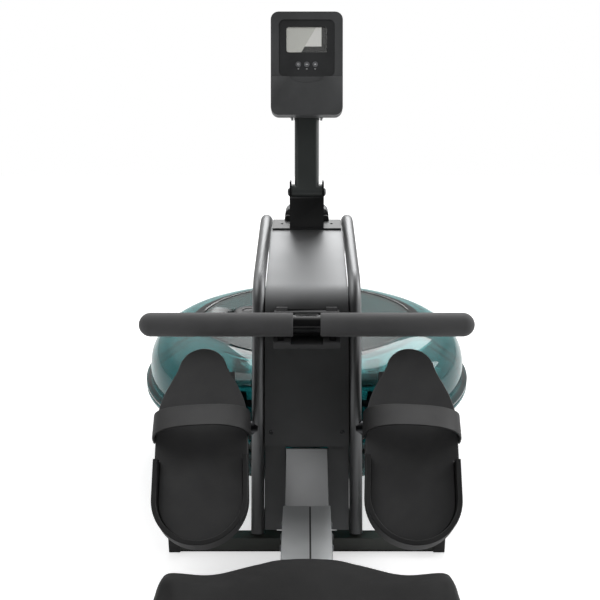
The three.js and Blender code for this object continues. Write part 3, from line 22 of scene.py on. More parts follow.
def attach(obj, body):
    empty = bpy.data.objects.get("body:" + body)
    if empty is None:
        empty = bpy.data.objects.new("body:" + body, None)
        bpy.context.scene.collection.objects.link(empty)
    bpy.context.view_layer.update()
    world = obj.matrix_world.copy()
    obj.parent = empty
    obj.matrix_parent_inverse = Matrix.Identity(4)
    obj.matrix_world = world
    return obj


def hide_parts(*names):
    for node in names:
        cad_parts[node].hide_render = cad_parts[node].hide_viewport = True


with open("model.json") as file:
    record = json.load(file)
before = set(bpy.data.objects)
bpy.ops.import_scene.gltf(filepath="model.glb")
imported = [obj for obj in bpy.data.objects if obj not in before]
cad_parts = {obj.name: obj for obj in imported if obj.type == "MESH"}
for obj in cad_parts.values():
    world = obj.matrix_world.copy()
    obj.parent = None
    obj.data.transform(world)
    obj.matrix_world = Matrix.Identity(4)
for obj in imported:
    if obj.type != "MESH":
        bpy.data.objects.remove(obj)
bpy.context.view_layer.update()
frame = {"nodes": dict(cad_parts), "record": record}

log = logging.getLogger("rowing_machine")
logging.basicConfig(level=logging.INFO, format="%(message)s")

# A millimetre in metres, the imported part's move along y in millimetres, and the gap of seated pieces.
MM = 0.001
SHIFT_Y = 225.65
FIT = 0.3
AXIS_X = (1.0, 0.0, 0.0)
Color = tuple[float, float, float]
Point = tuple[float, float, float]
Pairs = tuple[tuple[float, float], ...]


class Side(Enum):
    """The two sides of the machine, as the sign of X."""

    LEFT = -1
    RIGHT = 1

    @property
    def word(self) -> str:
        """The side's name as it stands in node names."""
        return self.name.lower()


class Grain(Enum):
    """How a surface's fine relief looks."""

    ORANGE_PEEL = "orange_peel"
    MOULDED = "moulded"
    FOAM_CELLS = "foam_cells"
    BRUSHED = "brushed"


# Surfaces


def outward(points: np.ndarray, faces: np.ndarray) -> np.ndarray:
    """Turns a surface's faces to point outwards.

    The signed volume is the sum of a . (b x c) over the fan of each face, divided by six, with the
    points counted from their mean.

    Args:
        points: Vertex places, one row each.
        faces: Vertex numbers, one face a row.

    Returns:
        The faces, reversed where the volume was negative.
    """
    points = points - points.mean(axis=0)
    a, b, c = points[faces[:, 0]], points[faces[:, 1]], points[faces[:, 2]]
    volume = np.einsum("ij,ij->i", a, np.cross(b, c)).sum()
    if faces.shape[1] == 4:
        d = points[faces[:, 3]]
        volume += np.einsum("ij,ij->i", a, np.cross(c, d)).sum()
    return faces[:, ::-1] if volume < 0 else faces


def linked(name: str, data: ID) -> Object:
    """A new object that holds the data, in the scene."""
    made = bpy.data.objects.new(name, data)
    bpy.context.scene.collection.objects.link(made)
    return made


def smoothed(mesh: Mesh) -> None:
    """Shades every face smooth."""
    mesh.polygons.foreach_set("use_smooth", np.ones(len(mesh.polygons), dtype=bool))


def per_face(mesh: Mesh, value: str) -> np.ndarray:
    """Each face's "center" or "normal", one row each."""
    rows = np.empty(len(mesh.polygons) * 3)
    mesh.polygons.foreach_get(value, rows)
    return rows.reshape(-1, 3)


def mesh_object(name: str, points: np.ndarray, faces: list[np.ndarray]) -> Object:
    """Makes a smooth mesh object from arrays.

    Args:
        name: The piece's name.
        points: Vertex places in metres.
        faces: Arrays of vertex numbers, each with its own count of corners.

    Returns:
        The object, in the scene.
    """
    mesh = bpy.data.meshes.new(name)
    mesh.vertices.add(len(points))
    mesh.vertices.foreach_set("co", np.ascontiguousarray(points, dtype=np.float32).ravel())
    corners = np.concatenate([f.ravel() for f in faces]).astype(np.int32)
    sizes = np.concatenate([np.full(len(f), f.shape[1]) for f in faces])
    mesh.loops.add(len(corners))
    mesh.loops.foreach_set("vertex_index", corners)
    mesh.polygons.add(len(sizes))
    mesh.polygons.foreach_set("loop_start", np.concatenate([[0], np.cumsum(sizes)[:-1]]).astype(np.int32))
    mesh.update(calc_edges=True)
    mesh.validate()
    smoothed(mesh)
    return linked(name, mesh)


def grid_faces(rows: int, columns: int, wrap_rows: bool, wrap_columns: bool) -> np.ndarray:
    """Quads over a grid of rows and columns of points, joined round where asked."""
    r = np.arange(rows if wrap_rows else rows - 1)
    c = np.arange(columns if wrap_columns else columns - 1)
    i, j = np.meshgrid(r, c, indexing="ij")
    k, m = (i + 1) % rows, (j + 1) % columns
    quads = np.stack([i * columns + j, i * columns + m, k * columns + m, k * columns + j], axis=-1)
    return quads.reshape(-1, 4)


def skin(name: str, grid: np.ndarray, wrap_rows: bool = False, caps: bool = True) -> Object:
    """A closed skin over rings of points: row i, column j is the point grid[i, j].

    Each ring is closed on itself. Rings that don't close into a loop get one flat face over each end.

    Args:
        name: The piece's name.
        grid: Points, shaped rings by points by three.
        wrap_rows: Whether the last ring joins the first.
        caps: Whether the ends are closed.

    Returns:
        The object.
    """
    rows, columns = grid.shape[:2]
    points = grid.reshape(-1, 3)
    quads = grid_faces(rows, columns, wrap_rows, True)
    turned = outward(points, quads)
    if wrap_rows or not caps:
        return mesh_object(name, points, [turned])
    ring = np.arange(columns)
    ends = np.stack([ring[::-1], (rows - 1) * columns + ring])
    if not np.array_equal(turned, quads):
        ends = ends[:, ::-1]
    return mesh_object(name, points, [turned, ends])


def revolve(name: str, profile: np.ndarray, centre: Point, steps: int = 128,
            axis: Point = (0.0, 0.0, 1.0)) -> Object:
    """A closed profile of (radius, height) turned round an axis.

    A point is centre + h w + r (cos a u + sin a v), where w is the axis and u, v are square to it.

    Args:
        name: The piece's name.
        profile: Closed outline in millimetres, one row for each corner.
        centre: A point of the axis, at height zero, in millimetres.
        steps: How many facets go round.
        axis: The axis's direction.

    Returns:
        The object.
    """
    w = np.array(axis) / np.linalg.norm(axis)
    u = np.cross(w, (0.0, 1.0, 0.0) if abs(w[1]) < 0.9 else (1.0, 0.0, 0.0))
    u /= np.linalg.norm(u)
    v = np.cross(w, u)
    angle = np.linspace(0.0, 2 * math.pi, steps, endpoint=False)[:, None, None]
    ray = np.cos(angle) * u + np.sin(angle) * v
    grid = (profile[None, :, :1] * ray + profile[None, :, 1:] * w + np.array(centre)) * MM
    return skin(name, grid, wrap_rows=True)


def rounded(corners: np.ndarray, radius: np.ndarray | float, steps: int = 5,
            closed: bool = True) -> np.ndarray:
    """Rounds an outline's corners: each becomes a curve p + (1-t)^2 a + t^2 b from side to side.

    Args:
        corners: Outline points, one row each.
        radius: How far along its sides each corner is cut back.
        steps: Points on each rounded corner.
        closed: Whether the outline is closed.

    Returns:
        The denser outline.
    """
    back = np.roll(corners, 1, axis=0) - corners
    on = np.roll(corners, -1, axis=0) - corners
    reach = np.broadcast_to(np.asarray(radius, dtype=float), (len(corners),))[:, None]
    lengths = [np.linalg.norm(v, axis=1, keepdims=True) for v in (back, on)]
    a = back / lengths[0] * np.minimum(reach, 0.45 * lengths[0])
    b = on / lengths[1] * np.minimum(reach, 0.45 * lengths[1])
    t = np.linspace(0.0, 1.0, steps)[None, :, None]
    curve = corners[:, None] + (1 - t) ** 2 * a[:, None] + t**2 * b[:, None]
    if not closed:
        curve[0], curve[-1] = corners[0], corners[-1]
    return curve.reshape(-1, corners.shape[1])


def circle(centre: tuple[float, float], radius: float, angles: np.ndarray) -> np.ndarray:
    """Points of a circle: centre + r (cos a, sin a)."""
    return np.stack([centre[0] + radius * np.cos(angles), centre[1] + radius * np.sin(angles)], axis=-1)


def band(inner: float, outer: float, low: float, high: float) -> np.ndarray:
    """A ring's section as (radius, height), from the inner lower corner round."""
    return np.array([(inner, low), (outer, low), (outer, high), (inner, high)])


def mirrored(half: list[tuple[float, float]]) -> np.ndarray:
    """A section of (radius, height) and its mirror image across height zero, as one outline."""
    return np.array(half + [(r, -h) for r, h in reversed(half)])


def arc_line(corners: list[tuple[float, ...]], steps: int = 16) -> np.ndarray:
    """Straight runs joined by arcs of true radius, as (y, z) points in millimetres.

    A corner of radius r is replaced by the arc round p + w r / sin(h), where w halves the corner and
    h is half its angle.

    Args:
        corners: Each (y, z) or (y, z, radius).
        steps: Points on each arc.

    Returns:
        The line's points.
    """
    parts = [np.array([corners[0][:2]])]
    for before, here, after in zip(corners, corners[1:], corners[2:]):
        p = np.array(here[:2])
        back = np.array(before[:2]) - p
        on = np.array(after[:2]) - p
        back, on = back / np.linalg.norm(back), on / np.linalg.norm(on)
        half = math.acos(float(back @ on)) / 2
        way = (back + on) / np.linalg.norm(back + on)
        middle = p + way * here[2] / math.sin(half)
        first = p + back * here[2] / math.tan(half) - middle
        last = p + on * here[2] / math.tan(half) - middle
        turn = math.atan2(first[0] * last[1] - first[1] * last[0], float(first @ last))
        a = np.linspace(0.0, turn, steps)
        parts.append(np.stack([
            middle[0] + first[0] * np.cos(a) - first[1] * np.sin(a),
            middle[1] + first[0] * np.sin(a) + first[1] * np.cos(a),
        ], axis=-1))
    parts.append(np.array([corners[-1][:2]]))
    return np.concatenate(parts)


def eased(t: np.ndarray) -> np.ndarray:
    """A step from 0 to 1 with level ends: t^2 (3 - 2 t), held outside."""
    t = t.clip(0.0, 1.0)
    return t**2 * (3 - 2 * t)


def smooth_curve(knots: np.ndarray, count: int) -> np.ndarray:
    """A smooth line through knots: on each stretch a cubic whose slopes come from the neighbouring knots.

    Args:
        knots: The points it passes through.
        count: How many points the line gets.

    Returns:
        The line's points.
    """
    at = np.concatenate([[0.0], np.cumsum(np.linalg.norm(np.diff(knots, axis=0), axis=1))])
    slope = np.gradient(knots, at, axis=0)
    t = np.linspace(0.0, at[-1], count)
    i = np.clip(np.searchsorted(at, t, side="right") - 1, 0, len(at) - 2)
    run = (at[i + 1] - at[i])[:, None]
    x = (t - at[i])[:, None] / run
    start, end = knots[i], knots[i + 1]
    return (
        start * (1 + 2 * x) * (1 - x) ** 2 + end * x**2 * (3 - 2 * x)
        + slope[i] * run * x * (1 - x) ** 2 - slope[i + 1] * run * x**2 * (1 - x)
    )


def extruded(name: str, outline: np.ndarray, start: float, end: float, rim: float = 0.0, steps: int = 4,
             axis: str = "x") -> Object:
    """An outline carried straight along X, Y or Z, with its end rims rounded inwards.

    Ring k stands at start + rim (1 - sin q) with the outline pulled in by rim (1 - cos q), and the
    same at the far end.

    Args:
        name: The piece's name.
        outline: Closed outline in millimetres, as (y, z), (x, z) or (x, y).
        start: Where it begins along the axis.
        end: Where it ends.
        rim: The rounding's radius.
        steps: Rings on each rounding.
        axis: "x", "y" or "z".

    Returns:
        The object.
    """
    tangent = np.roll(outline, -1, axis=0) - np.roll(outline, 1, axis=0)
    tangent /= np.linalg.norm(tangent, axis=1, keepdims=True)
    area = np.sum(outline[:, 0] * np.roll(outline[:, 1], -1) - np.roll(outline[:, 0], -1) * outline[:, 1])
    inward = np.stack([-tangent[:, 1], tangent[:, 0]], axis=-1) * np.sign(area)
    q = np.linspace(0.0, math.pi / 2, steps) if rim else np.array([math.pi / 2])
    pull = rim * (1 - np.sin(q))
    stand = rim * (1 - np.cos(q)) if rim else np.array([0.0])
    at = np.concatenate([start + stand, end - stand[::-1]])
    drawn = np.concatenate([pull, pull[::-1]])
    flat = outline[None] + drawn[:, None, None] * inward[None]
    along = np.broadcast_to(at[:, None, None], (*flat.shape[:2], 1))
    order = {"x": (along, flat[..., :1], flat[..., 1:]), "y": (flat[..., :1], along, flat[..., 1:]),
             "z": (flat[..., :1], flat[..., 1:], along)}[axis]
    return skin(name, np.concatenate(order, axis=-1) * MM)


def bored(piece: Object, tool: Object, operation: str = "DIFFERENCE") -> None:
    """Cuts a tool out of a piece, or joins it on, and removes the tool.

    Args:
        piece: The piece that is kept.
        tool: The other closed shape.
        operation: "DIFFERENCE" or "UNION".
    """
    modifier = piece.modifiers.new("cut", "BOOLEAN")
    modifier.operation = operation
    modifier.solver = "EXACT"
    modifier.object = tool
    applied(piece)
    bpy.data.objects.remove(tool, do_unlink=True)


def applied(piece: Object) -> None:
    """Turns a piece's modifiers into mesh."""
    graph = bpy.context.evaluated_depsgraph_get()
    mesh = bpy.data.meshes.new_from_object(piece.evaluated_get(graph), depsgraph=graph)
    piece.modifiers.clear()
    piece.data = mesh


def placed(piece: Object, turn: Matrix, shift: Point) -> Object:
    """Turns and moves a piece's mesh about the origin, and leaves its object unturned.

    Args:
        piece: The piece.
        turn: The turn.
        shift: The move in millimetres.

    Returns:
        The piece.
    """
    piece.data.transform(Matrix.Translation(Vector(shift) * MM) @ turn)
    piece.data.update()
    return piece


def rounded_rect(width: float, height: float, radius: float, centre: tuple[float, float] = (0.0, 0.0),
                 steps: int = 9) -> np.ndarray:
    """A rectangle with round corners: at each, the centre of the corner plus r (cos a, sin a).

    Args:
        width: The whole width.
        height: The whole height.
        radius: The corners' radius.
        centre: The middle.
        steps: Points on each corner.

    Returns:
        The outline, counterclockwise.
    """
    a = np.linspace(0.0, math.pi / 2, steps)
    parts = []
    for k, (sx, sy) in enumerate(((1, 1), (-1, 1), (-1, -1), (1, -1))):
        middle = (centre[0] + sx * (width / 2 - radius), centre[1] + sy * (height / 2 - radius))
        parts.append(circle(middle, radius, a + k * math.pi / 2))
    return np.concatenate(parts)


def shaded_by_angle(piece: Object, degrees: float = 32.0, weighted: bool = False) -> None:
    """Shades smooth, with creases kept where faces meet at more than an angle.

    Args:
        piece: The piece.
        degrees: The angle.
        weighted: Whether large flat faces stay flat beside narrow roundings.
    """
    smoothed(piece.data)
    piece.data.set_sharp_from_angle(angle=math.radians(degrees))
    if weighted:
        normals = piece.modifiers.new("flat", "WEIGHTED_NORMAL")
        normals.keep_sharp = True
        normals.weight = 90


def softened(node: str, width: float, segments: int = 3, degrees: float = 32.0) -> Object:
    """A copy of a solid with its sharp edges rounded, as a moulded or painted piece has.

    Args:
        node: The solid's node.
        width: The rounding's width in millimetres.
        segments: How many facets round each edge.
        degrees: Edges sharper than this are rounded.

    Returns:
        The copy, named after the node.
    """
    mesh = frame["nodes"][node].data.copy()
    mesh.name = f"{node}_shape"
    work = bmesh.new()
    work.from_mesh(mesh)
    bmesh.ops.remove_doubles(work, verts=work.verts, dist=2e-5)
    bmesh.ops.dissolve_limit(work, angle_limit=math.radians(1.0), verts=work.verts, edges=work.edges)
    work.to_mesh(mesh)
    work.free()
    piece = linked(f"{node}_shape", mesh)
    shaded_by_angle(piece, degrees)
    bevel = piece.modifiers.new("edge", "BEVEL")
    bevel.width = width * MM
    bevel.segments = segments
    bevel.limit_method = "ANGLE"
    bevel.angle_limit = math.radians(degrees)
    bevel.harden_normals = True
    return piece


BODY_OF = {node: body for body, nodes in frame["record"]["behaviour"]["bodies"].items() for node in nodes}


def fitted(piece: Object, node: str, material: Material, stands_for: bool = True) -> None:
    """Gives a new piece its body and its material.

    Args:
        piece: The new piece.
        node: The node that it stands for, or belongs to.
        material: Its material.
        stands_for: Whether it takes the node's place in the picture.
    """
    piece.data.materials.clear()
    piece.data.materials.append(material)
    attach(piece, BODY_OF[node])
    if stands_for:
        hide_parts(node)
    log.info("%s on %s, %d faces", piece.name, BODY_OF[node], len(piece.data.polygons))


def soften(node: str, material: Material, width: float, **edge: float) -> None:
    """Puts a softened copy of a solid in its place; width and edge are what softened takes."""
    fitted(softened(node, width, **edge), node, material)


def dressed(node: str, material: Material) -> None:
    """Puts a material on a solid that stays as it is."""
    solid = frame["nodes"][node]
    solid.data.materials.clear()
    solid.data.materials.append(material)


# Effects that several finishes share


class Wires:
    """Adds nodes to a tree and joins them, to keep the finishes short."""

    def __init__(self, tree: ShaderNodeTree) -> None:
        """Keeps the tree."""
        self.tree = tree

    def feed(self, target: NodeSocket, value: object) -> None:
        """Joins a socket to an input, or gives the input its own value. An (r, g, b) gets an alpha of 1."""
        if isinstance(value, NodeSocket):
            self.tree.links.new(value, target)
        else:
            target.default_value = (*value, 1.0) if target.type == "RGBA" else value

    def settle(self, node: Node, **values: object) -> None:
        """Sets a node up. Names with a leading capital are its inputs, the rest are its properties."""
        for key, value in values.items():
            if key[0].isupper():
                self.feed(node.inputs[key.replace("_", " ")], value)
            else:
                setattr(node, key, value)

    def node(self, kind: str, **values: object) -> Node:
        """Adds a node and settles it."""
        made = self.tree.nodes.new(kind)
        self.settle(made, **values)
        return made

    def math(self, operation: str, a: object, b: object = 0.0, clamp: bool = False) -> NodeSocket:
        """A Math node of two inputs, each a socket or a number, and its output."""
        made = self.node("ShaderNodeMath", operation=operation, use_clamp=clamp)
        for target, value in zip(made.inputs, (a, b)):
            self.feed(target, value)
        return made.outputs[0]

    def mix(self, share: object, a: object, b: object) -> NodeSocket:
        """A colour between two colours, each a socket or an (r, g, b), by a socket or a number."""
        made = self.node("ShaderNodeMix", data_type="RGBA", Factor=share)
        self.feed(made.inputs[6], a)
        self.feed(made.inputs[7], b)
        return made.outputs[2]

    def ramp(self, source: NodeSocket, low: float, high: float) -> NodeSocket:
        """A value spread from 0 at low to 1 at high, and held beyond."""
        made = self.node("ShaderNodeMapRange", interpolation_type="SMOOTHSTEP", Value=source,
                         From_Min=low, From_Max=high)
        return made.outputs["Result"]

    def place(self) -> NodeSocket:
        """The object coordinates."""
        return self.node("ShaderNodeTexCoord").outputs["Object"]

    def noise(self, **values: object) -> NodeSocket:
        """A noise texture's value over the object coordinates."""
        return self.node("ShaderNodeTexNoise", Vector=self.place(), **values).outputs["Fac"]

    def split(self, vector: NodeSocket) -> bpy_prop_collection:
        """A vector's X, Y and Z, by name."""
        made = self.node("ShaderNodeSeparateXYZ")
        self.feed(made.inputs[0], vector)
        return made.outputs

    def bump(self, height: NodeSocket, strength: float, distance: float) -> NodeSocket:
        """The normal that a relief gives."""
        made = self.node("ShaderNodeBump", Strength=strength, Distance=distance, Height=height)
        return made.outputs["Normal"]

    def given(self, name: str) -> NodeSocket:
        """An input of the group that the tree is."""
        return self.tree.nodes["in"].outputs[name]

    def result(self, **values: NodeSocket) -> ShaderNodeTree:
        """Joins the outputs of the group that the tree is, and hands the group over."""
        self.settle(self.tree.nodes["out"], **values)
        return self.tree


def socketed(name: str, inputs: dict[str, float], outputs: tuple[str, ...]) -> Wires:
    """Starts a shader node group with named value sockets.

    Args:
        name: The group's name.
        inputs: Each input's name and usual value.
        outputs: The outputs' names.

    Returns:
        The wires of the group, which has its Group Input and Group Output nodes.
    """
    group = bpy.data.node_groups.new(name, "ShaderNodeTree")
    for label, value in inputs.items():
        socket = group.interface.new_socket(name=label, in_out="INPUT", socket_type="NodeSocketFloat")
        socket.default_value = value
    for label in outputs:
        group.interface.new_socket(name=label, in_out="OUTPUT", socket_type="NodeSocketFloat")
    group.nodes.new("NodeGroupInput").name = "in"
    group.nodes.new("NodeGroupOutput").name = "out"
    return Wires(group)


class Effects:
    """The node groups, each built once."""

    def __init__(self) -> None:
        """Builds every group."""
        self.relief = {grain: self._relief(grain) for grain in Grain}
        self.edge_wear = self._edge_wear()
        self.dust = self._dust()
        self.weave = self._weave()
        self.clouding = self._clouding()

    def _relief(self, grain: Grain) -> ShaderNodeTree:
        """Fine relief on object coordinates: soft noise, moulded pits, foam cells or brushed lines."""
        w = socketed(f"relief_{grain.value}", {"Scale": 800.0}, ("Height",))
        place = w.place()
        if grain is Grain.BRUSHED:
            place = w.node("ShaderNodeMapping", Scale=(1.0, 0.012, 1.0), Vector=place).outputs["Vector"]
        if grain is Grain.FOAM_CELLS:
            cells = w.node("ShaderNodeTexVoronoi", feature="F1", Vector=place, Scale=w.given("Scale"))
            return w.result(Height=cells.outputs["Distance"])
        detail = 1.0 if grain is Grain.ORANGE_PEEL else 3.0
        noise = w.node("ShaderNodeTexNoise", Detail=detail, Vector=place, Scale=w.given("Scale"))
        height = noise.outputs["Fac"]
        return w.result(Height=w.ramp(height, 0.35, 0.7) if grain is Grain.MOULDED else height)

    def _edge_wear(self) -> ShaderNodeTree:
        """A mask of rubbed edges: how far a rounded normal leaves the true one, broken up by noise."""
        w = socketed("edge_wear", {"Radius": 0.0015, "Amount": 1.0}, ("Mask",))
        soft = w.node("ShaderNodeBevel", samples=4, Radius=w.given("Radius"))
        dot = w.node("ShaderNodeVectorMath", operation="DOT_PRODUCT")
        w.feed(dot.inputs[0], soft.outputs["Normal"])
        w.feed(dot.inputs[1], w.node("ShaderNodeNewGeometry").outputs["Normal"])
        off = w.math("SUBTRACT", 1.0, dot.outputs["Value"], clamp=True)
        broken = w.ramp(w.noise(Scale=260.0, Detail=4.0), 0.38, 0.66)
        edge = w.math("MULTIPLY", w.ramp(off, 0.01, 0.16), broken)
        return w.result(Mask=w.math("MULTIPLY", edge, w.given("Amount"), clamp=True))

    def _dust(self) -> ShaderNodeTree:
        """A mask of fine dust: more where a face looks up, in soft patches."""
        w = socketed("dust_film", {"Amount": 0.1}, ("Mask",))
        up = w.ramp(w.split(w.node("ShaderNodeNewGeometry").outputs["Normal"])["Z"], 0.2, 1.0)
        patch = w.ramp(w.noise(Scale=42.0, Detail=5.0), 0.3, 0.75)
        film = w.math("MULTIPLY", up, patch)
        return w.result(Mask=w.math("MULTIPLY", film, w.given("Amount"), clamp=True))

    def _weave(self) -> ShaderNodeTree:
        """Webbing: yarn ribs across, crossed by fine ribs along, as a height and a shade."""
        w = socketed("webbing_weave", {"Pitch": 900.0}, ("Height", "Shade"))
        place, pitch = w.place(), w.given("Pitch")
        across, along = (
            w.node("ShaderNodeTexWave", wave_type="BANDS", bands_direction=direction, Distortion=0.6,
                   Vector=place, Scale=pitch).outputs["Fac"]
            for direction in ("X", "Y")
        )
        over = w.math("MULTIPLY", across, along)
        return w.result(Height=over, Shade=w.math("ADD", w.math("MULTIPLY", over, 0.5), 0.5))

    def _clouding(self) -> ShaderNodeTree:
        """Slow changes of tone over a surface, from 0 to 1."""
        w = socketed("clouding", {"Scale": 9.0}, ("Tone",))
        noise = w.noise(Detail=6.0, Roughness=0.6, Scale=w.given("Scale"))
        return w.result(Tone=w.ramp(noise, 0.25, 0.75))

    def use(self, w: Wires, group: ShaderNodeTree, **values: float) -> bpy_prop_collection:
        """Places a group in a material with its own values.

        Args:
            w: The material's wires.
            group: The group.
            **values: Input values by name.

        Returns:
            The group node's outputs, by name.
        """
        return w.node("ShaderNodeGroup", node_tree=group, **values).outputs


def tone(code: str) -> Color:
    """A linear colour from a written one, such as "3a3d3e", by the usual display curve."""
    parts = [int(code[i:i + 2], 16) / 255 for i in (0, 2, 4)]
    return tuple(p / 12.92 if p <= 0.04045 else ((p + 0.055) / 1.055) ** 2.4 for p in parts)


def scaled(color: Color, share: float) -> Color:
    """A colour times a share, held at 1."""
    return tuple(min(c * share, 1.0) for c in color)


# Finishes


@dataclass(frozen=True)
class Finish:
    """A finish with its name and main colour, which build makes into a material."""

    name: str
    color: Color

    def build(self, effects: Effects) -> Material:
        """Makes the material.

        Args:
            effects: The shared node groups.

        Returns:
            The material.
        """
        material = bpy.data.materials.new(self.name)
        material.use_nodes = True
        w = Wires(material.node_tree)
        w.settle(material.node_tree.nodes["Principled BSDF"], **self._surface(w, effects))
        return material

    def _surface(self, w: Wires, effects: Effects) -> dict[str, object]:
        """The shader's inputs by name: values, or sockets of nodes that this adds."""
        raise NotImplementedError


@dataclass(frozen=True)
class SolidFinish(Finish):
    """An opaque finish: paint, plastic, rubber, foam or metal."""

    roughness: float
    metallic: float = 0.0
    grain: Grain = Grain.MOULDED
    grain_scale: float = 900.0
    grain_height: float = 0.00004
    clouding: float = 0.08
    worn: Color = (0.3, 0.3, 0.3)
    wear: float = 0.25
    wear_radius: float = 0.0012
    dust: float = 0.01
    dust_color: Color = tone("b8b4ac")
    coat: float = 0.0
    coat_roughness: float = 0.1
    sheen: float = 0.0
    specular: float = 0.5

    def _surface(self, w: Wires, effects: Effects) -> dict[str, object]:
        """Base colour is clouded, then rubbed at the edges, then dusted; roughness follows the same masks.

        The relief goes through a Bump node.
        """
        cloud = effects.use(w, effects.clouding, Scale=11.0)["Tone"]
        drift = 2 * self.clouding
        color = w.mix(cloud, scaled(self.color, 1 - drift), scaled(self.color, 1 + drift))
        rough = w.math("ADD", w.math("MULTIPLY", cloud, 0.08), self.roughness - 0.04, clamp=True)
        if self.wear:
            edge = effects.use(w, effects.edge_wear, Radius=self.wear_radius, Amount=self.wear)["Mask"]
            color = w.mix(edge, color, self.worn)
        film = effects.use(w, effects.dust, Amount=self.dust)["Mask"]
        relief = effects.use(w, effects.relief[self.grain], Scale=self.grain_scale)["Height"]
        return {
            "Base_Color": w.mix(film, color, self.dust_color),
            "Roughness": w.math("ADD", rough, w.math("MULTIPLY", film, 0.5), clamp=True),
            "Normal": w.bump(relief, 0.6, self.grain_height),
            "Metallic": self.metallic,
            "Specular_IOR_Level": self.specular,
            "Coat_Weight": self.coat,
            "Coat_Roughness": self.coat_roughness,
            "Sheen_Weight": self.sheen,
        }


@dataclass(frozen=True)
class ClearFinish(Finish):
    """A see-through finish, tinted right through, with painted light making it lighter high up, faint
    clouding and fine scuffs.
    """

    roughness: float = 0.02
    ior: float = 1.45
    specular: float = 0.5
    upper: Color | None = None
    level: tuple[float, float] = (0.17, 0.25)

    def _surface(self, w: Wires, effects: Effects) -> dict[str, object]:
        """A transmitting shader whose tint and roughness drift slightly, with painted light lightening the
        tint high up.
        """
        cloud = effects.use(w, effects.clouding, Scale=5.0)["Tone"]
        tint = w.mix(cloud, scaled(self.color, 0.96), self.color)
        # Painted light: above the level heights the tint turns to the lighter upper colour, as light on the
        # tank's top.
        if self.upper:
            tint = w.mix(w.ramp(w.split(w.place())["Z"], *self.level), tint, self.upper)
        scuffs = effects.use(w, effects.relief[Grain.MOULDED], Scale=300.0)["Height"]
        return {
            "Base_Color": tint,
            "Roughness": w.math("ADD", w.math("MULTIPLY", scuffs, 0.03), self.roughness),
            "Metallic": 0.0,
            "Transmission_Weight": 1.0,
            "IOR": self.ior,
            "Specular_IOR_Level": self.specular,
        }


@dataclass(frozen=True)
class WebbingFinish(Finish):
    """Woven strap: ribs of yarn, with a little sheen."""

    def _surface(self, w: Wires, effects: Effects) -> dict[str, object]:
        """Colour from the weave's shade, relief from its height."""
        weave = effects.use(w, effects.weave, Pitch=420.0)
        return {
            "Base_Color": w.mix(weave["Shade"], scaled(self.color, 0.4), self.color),
            "Normal": w.bump(weave["Height"], 0.8, 0.0003),
            "Roughness": 0.75,
            "Sheen_Weight": 0.3,
        }


@dataclass(frozen=True)
class PanelFinish(Finish):
    """The display behind the lens: grey, with painted glare lighter past a slanted line, and painted shadow
    at two sides.
    """

    # Painted light: the glare's lighter tone, and the darker tone of the bezel's shadow at two sides.
    bright: Color
    border: Color
    centre: Point
    right: float = 0.0245
    bottom: float = -0.0055
    slant: float = 0.62
    slant_blur: float = 0.0004
    border_blur: float = 0.0003

    def _surface(self, w: Wires, effects: Effects) -> dict[str, object]:
        """The tone steps up across a slanted line into the painted glare, then down at two straight lines
        into painted shadow.
        """
        parts = w.split(w.place())
        across = w.math("SUBTRACT", parts["X"], self.centre[0])
        up = w.math("SUBTRACT", parts["Z"], self.centre[2])
        slanted = w.math("SUBTRACT", across, w.math("MULTIPLY", up, self.slant))
        # Painted glare: the share of the lighter reflection tone, past the slanted line.
        share = w.ramp(slanted, -self.slant_blur, self.slant_blur)
        cloud = effects.use(w, effects.clouding, Scale=30.0)["Tone"]
        base = w.mix(share, self.color, self.bright)
        base = w.mix(w.math("MULTIPLY", cloud, 0.08), base, self.color)
        # Painted bezel shadow: darker right of one line, and below another where the glare lies.
        aside = w.ramp(across, self.right - self.border_blur, self.right + self.border_blur)
        above = w.ramp(up, self.bottom - self.border_blur, self.bottom + self.border_blur)
        edge = w.math("MAXIMUM", aside, w.math("MULTIPLY", w.math("SUBTRACT", 1.0, above), share))
        return {"Base_Color": w.mix(edge, base, self.border), "Roughness": 0.35}


@dataclass(frozen=True)
class FloorFinish(Finish):
    """A plain floor, brightened where the camera sees it so that it meets the white surround."""

    def _surface(self, w: Wires, effects: Effects) -> dict[str, object]:
        """A rough surface that glows towards the camera alone."""
        seen = w.node("ShaderNodeLightPath").outputs["Is Camera Ray"]
        return {
            "Base_Color": self.color,
            "Roughness": 0.8,
            "Emission_Color": (1.0, 1.0, 1.0),
            "Emission_Strength": w.math("MULTIPLY", seen, 0.5),
        }


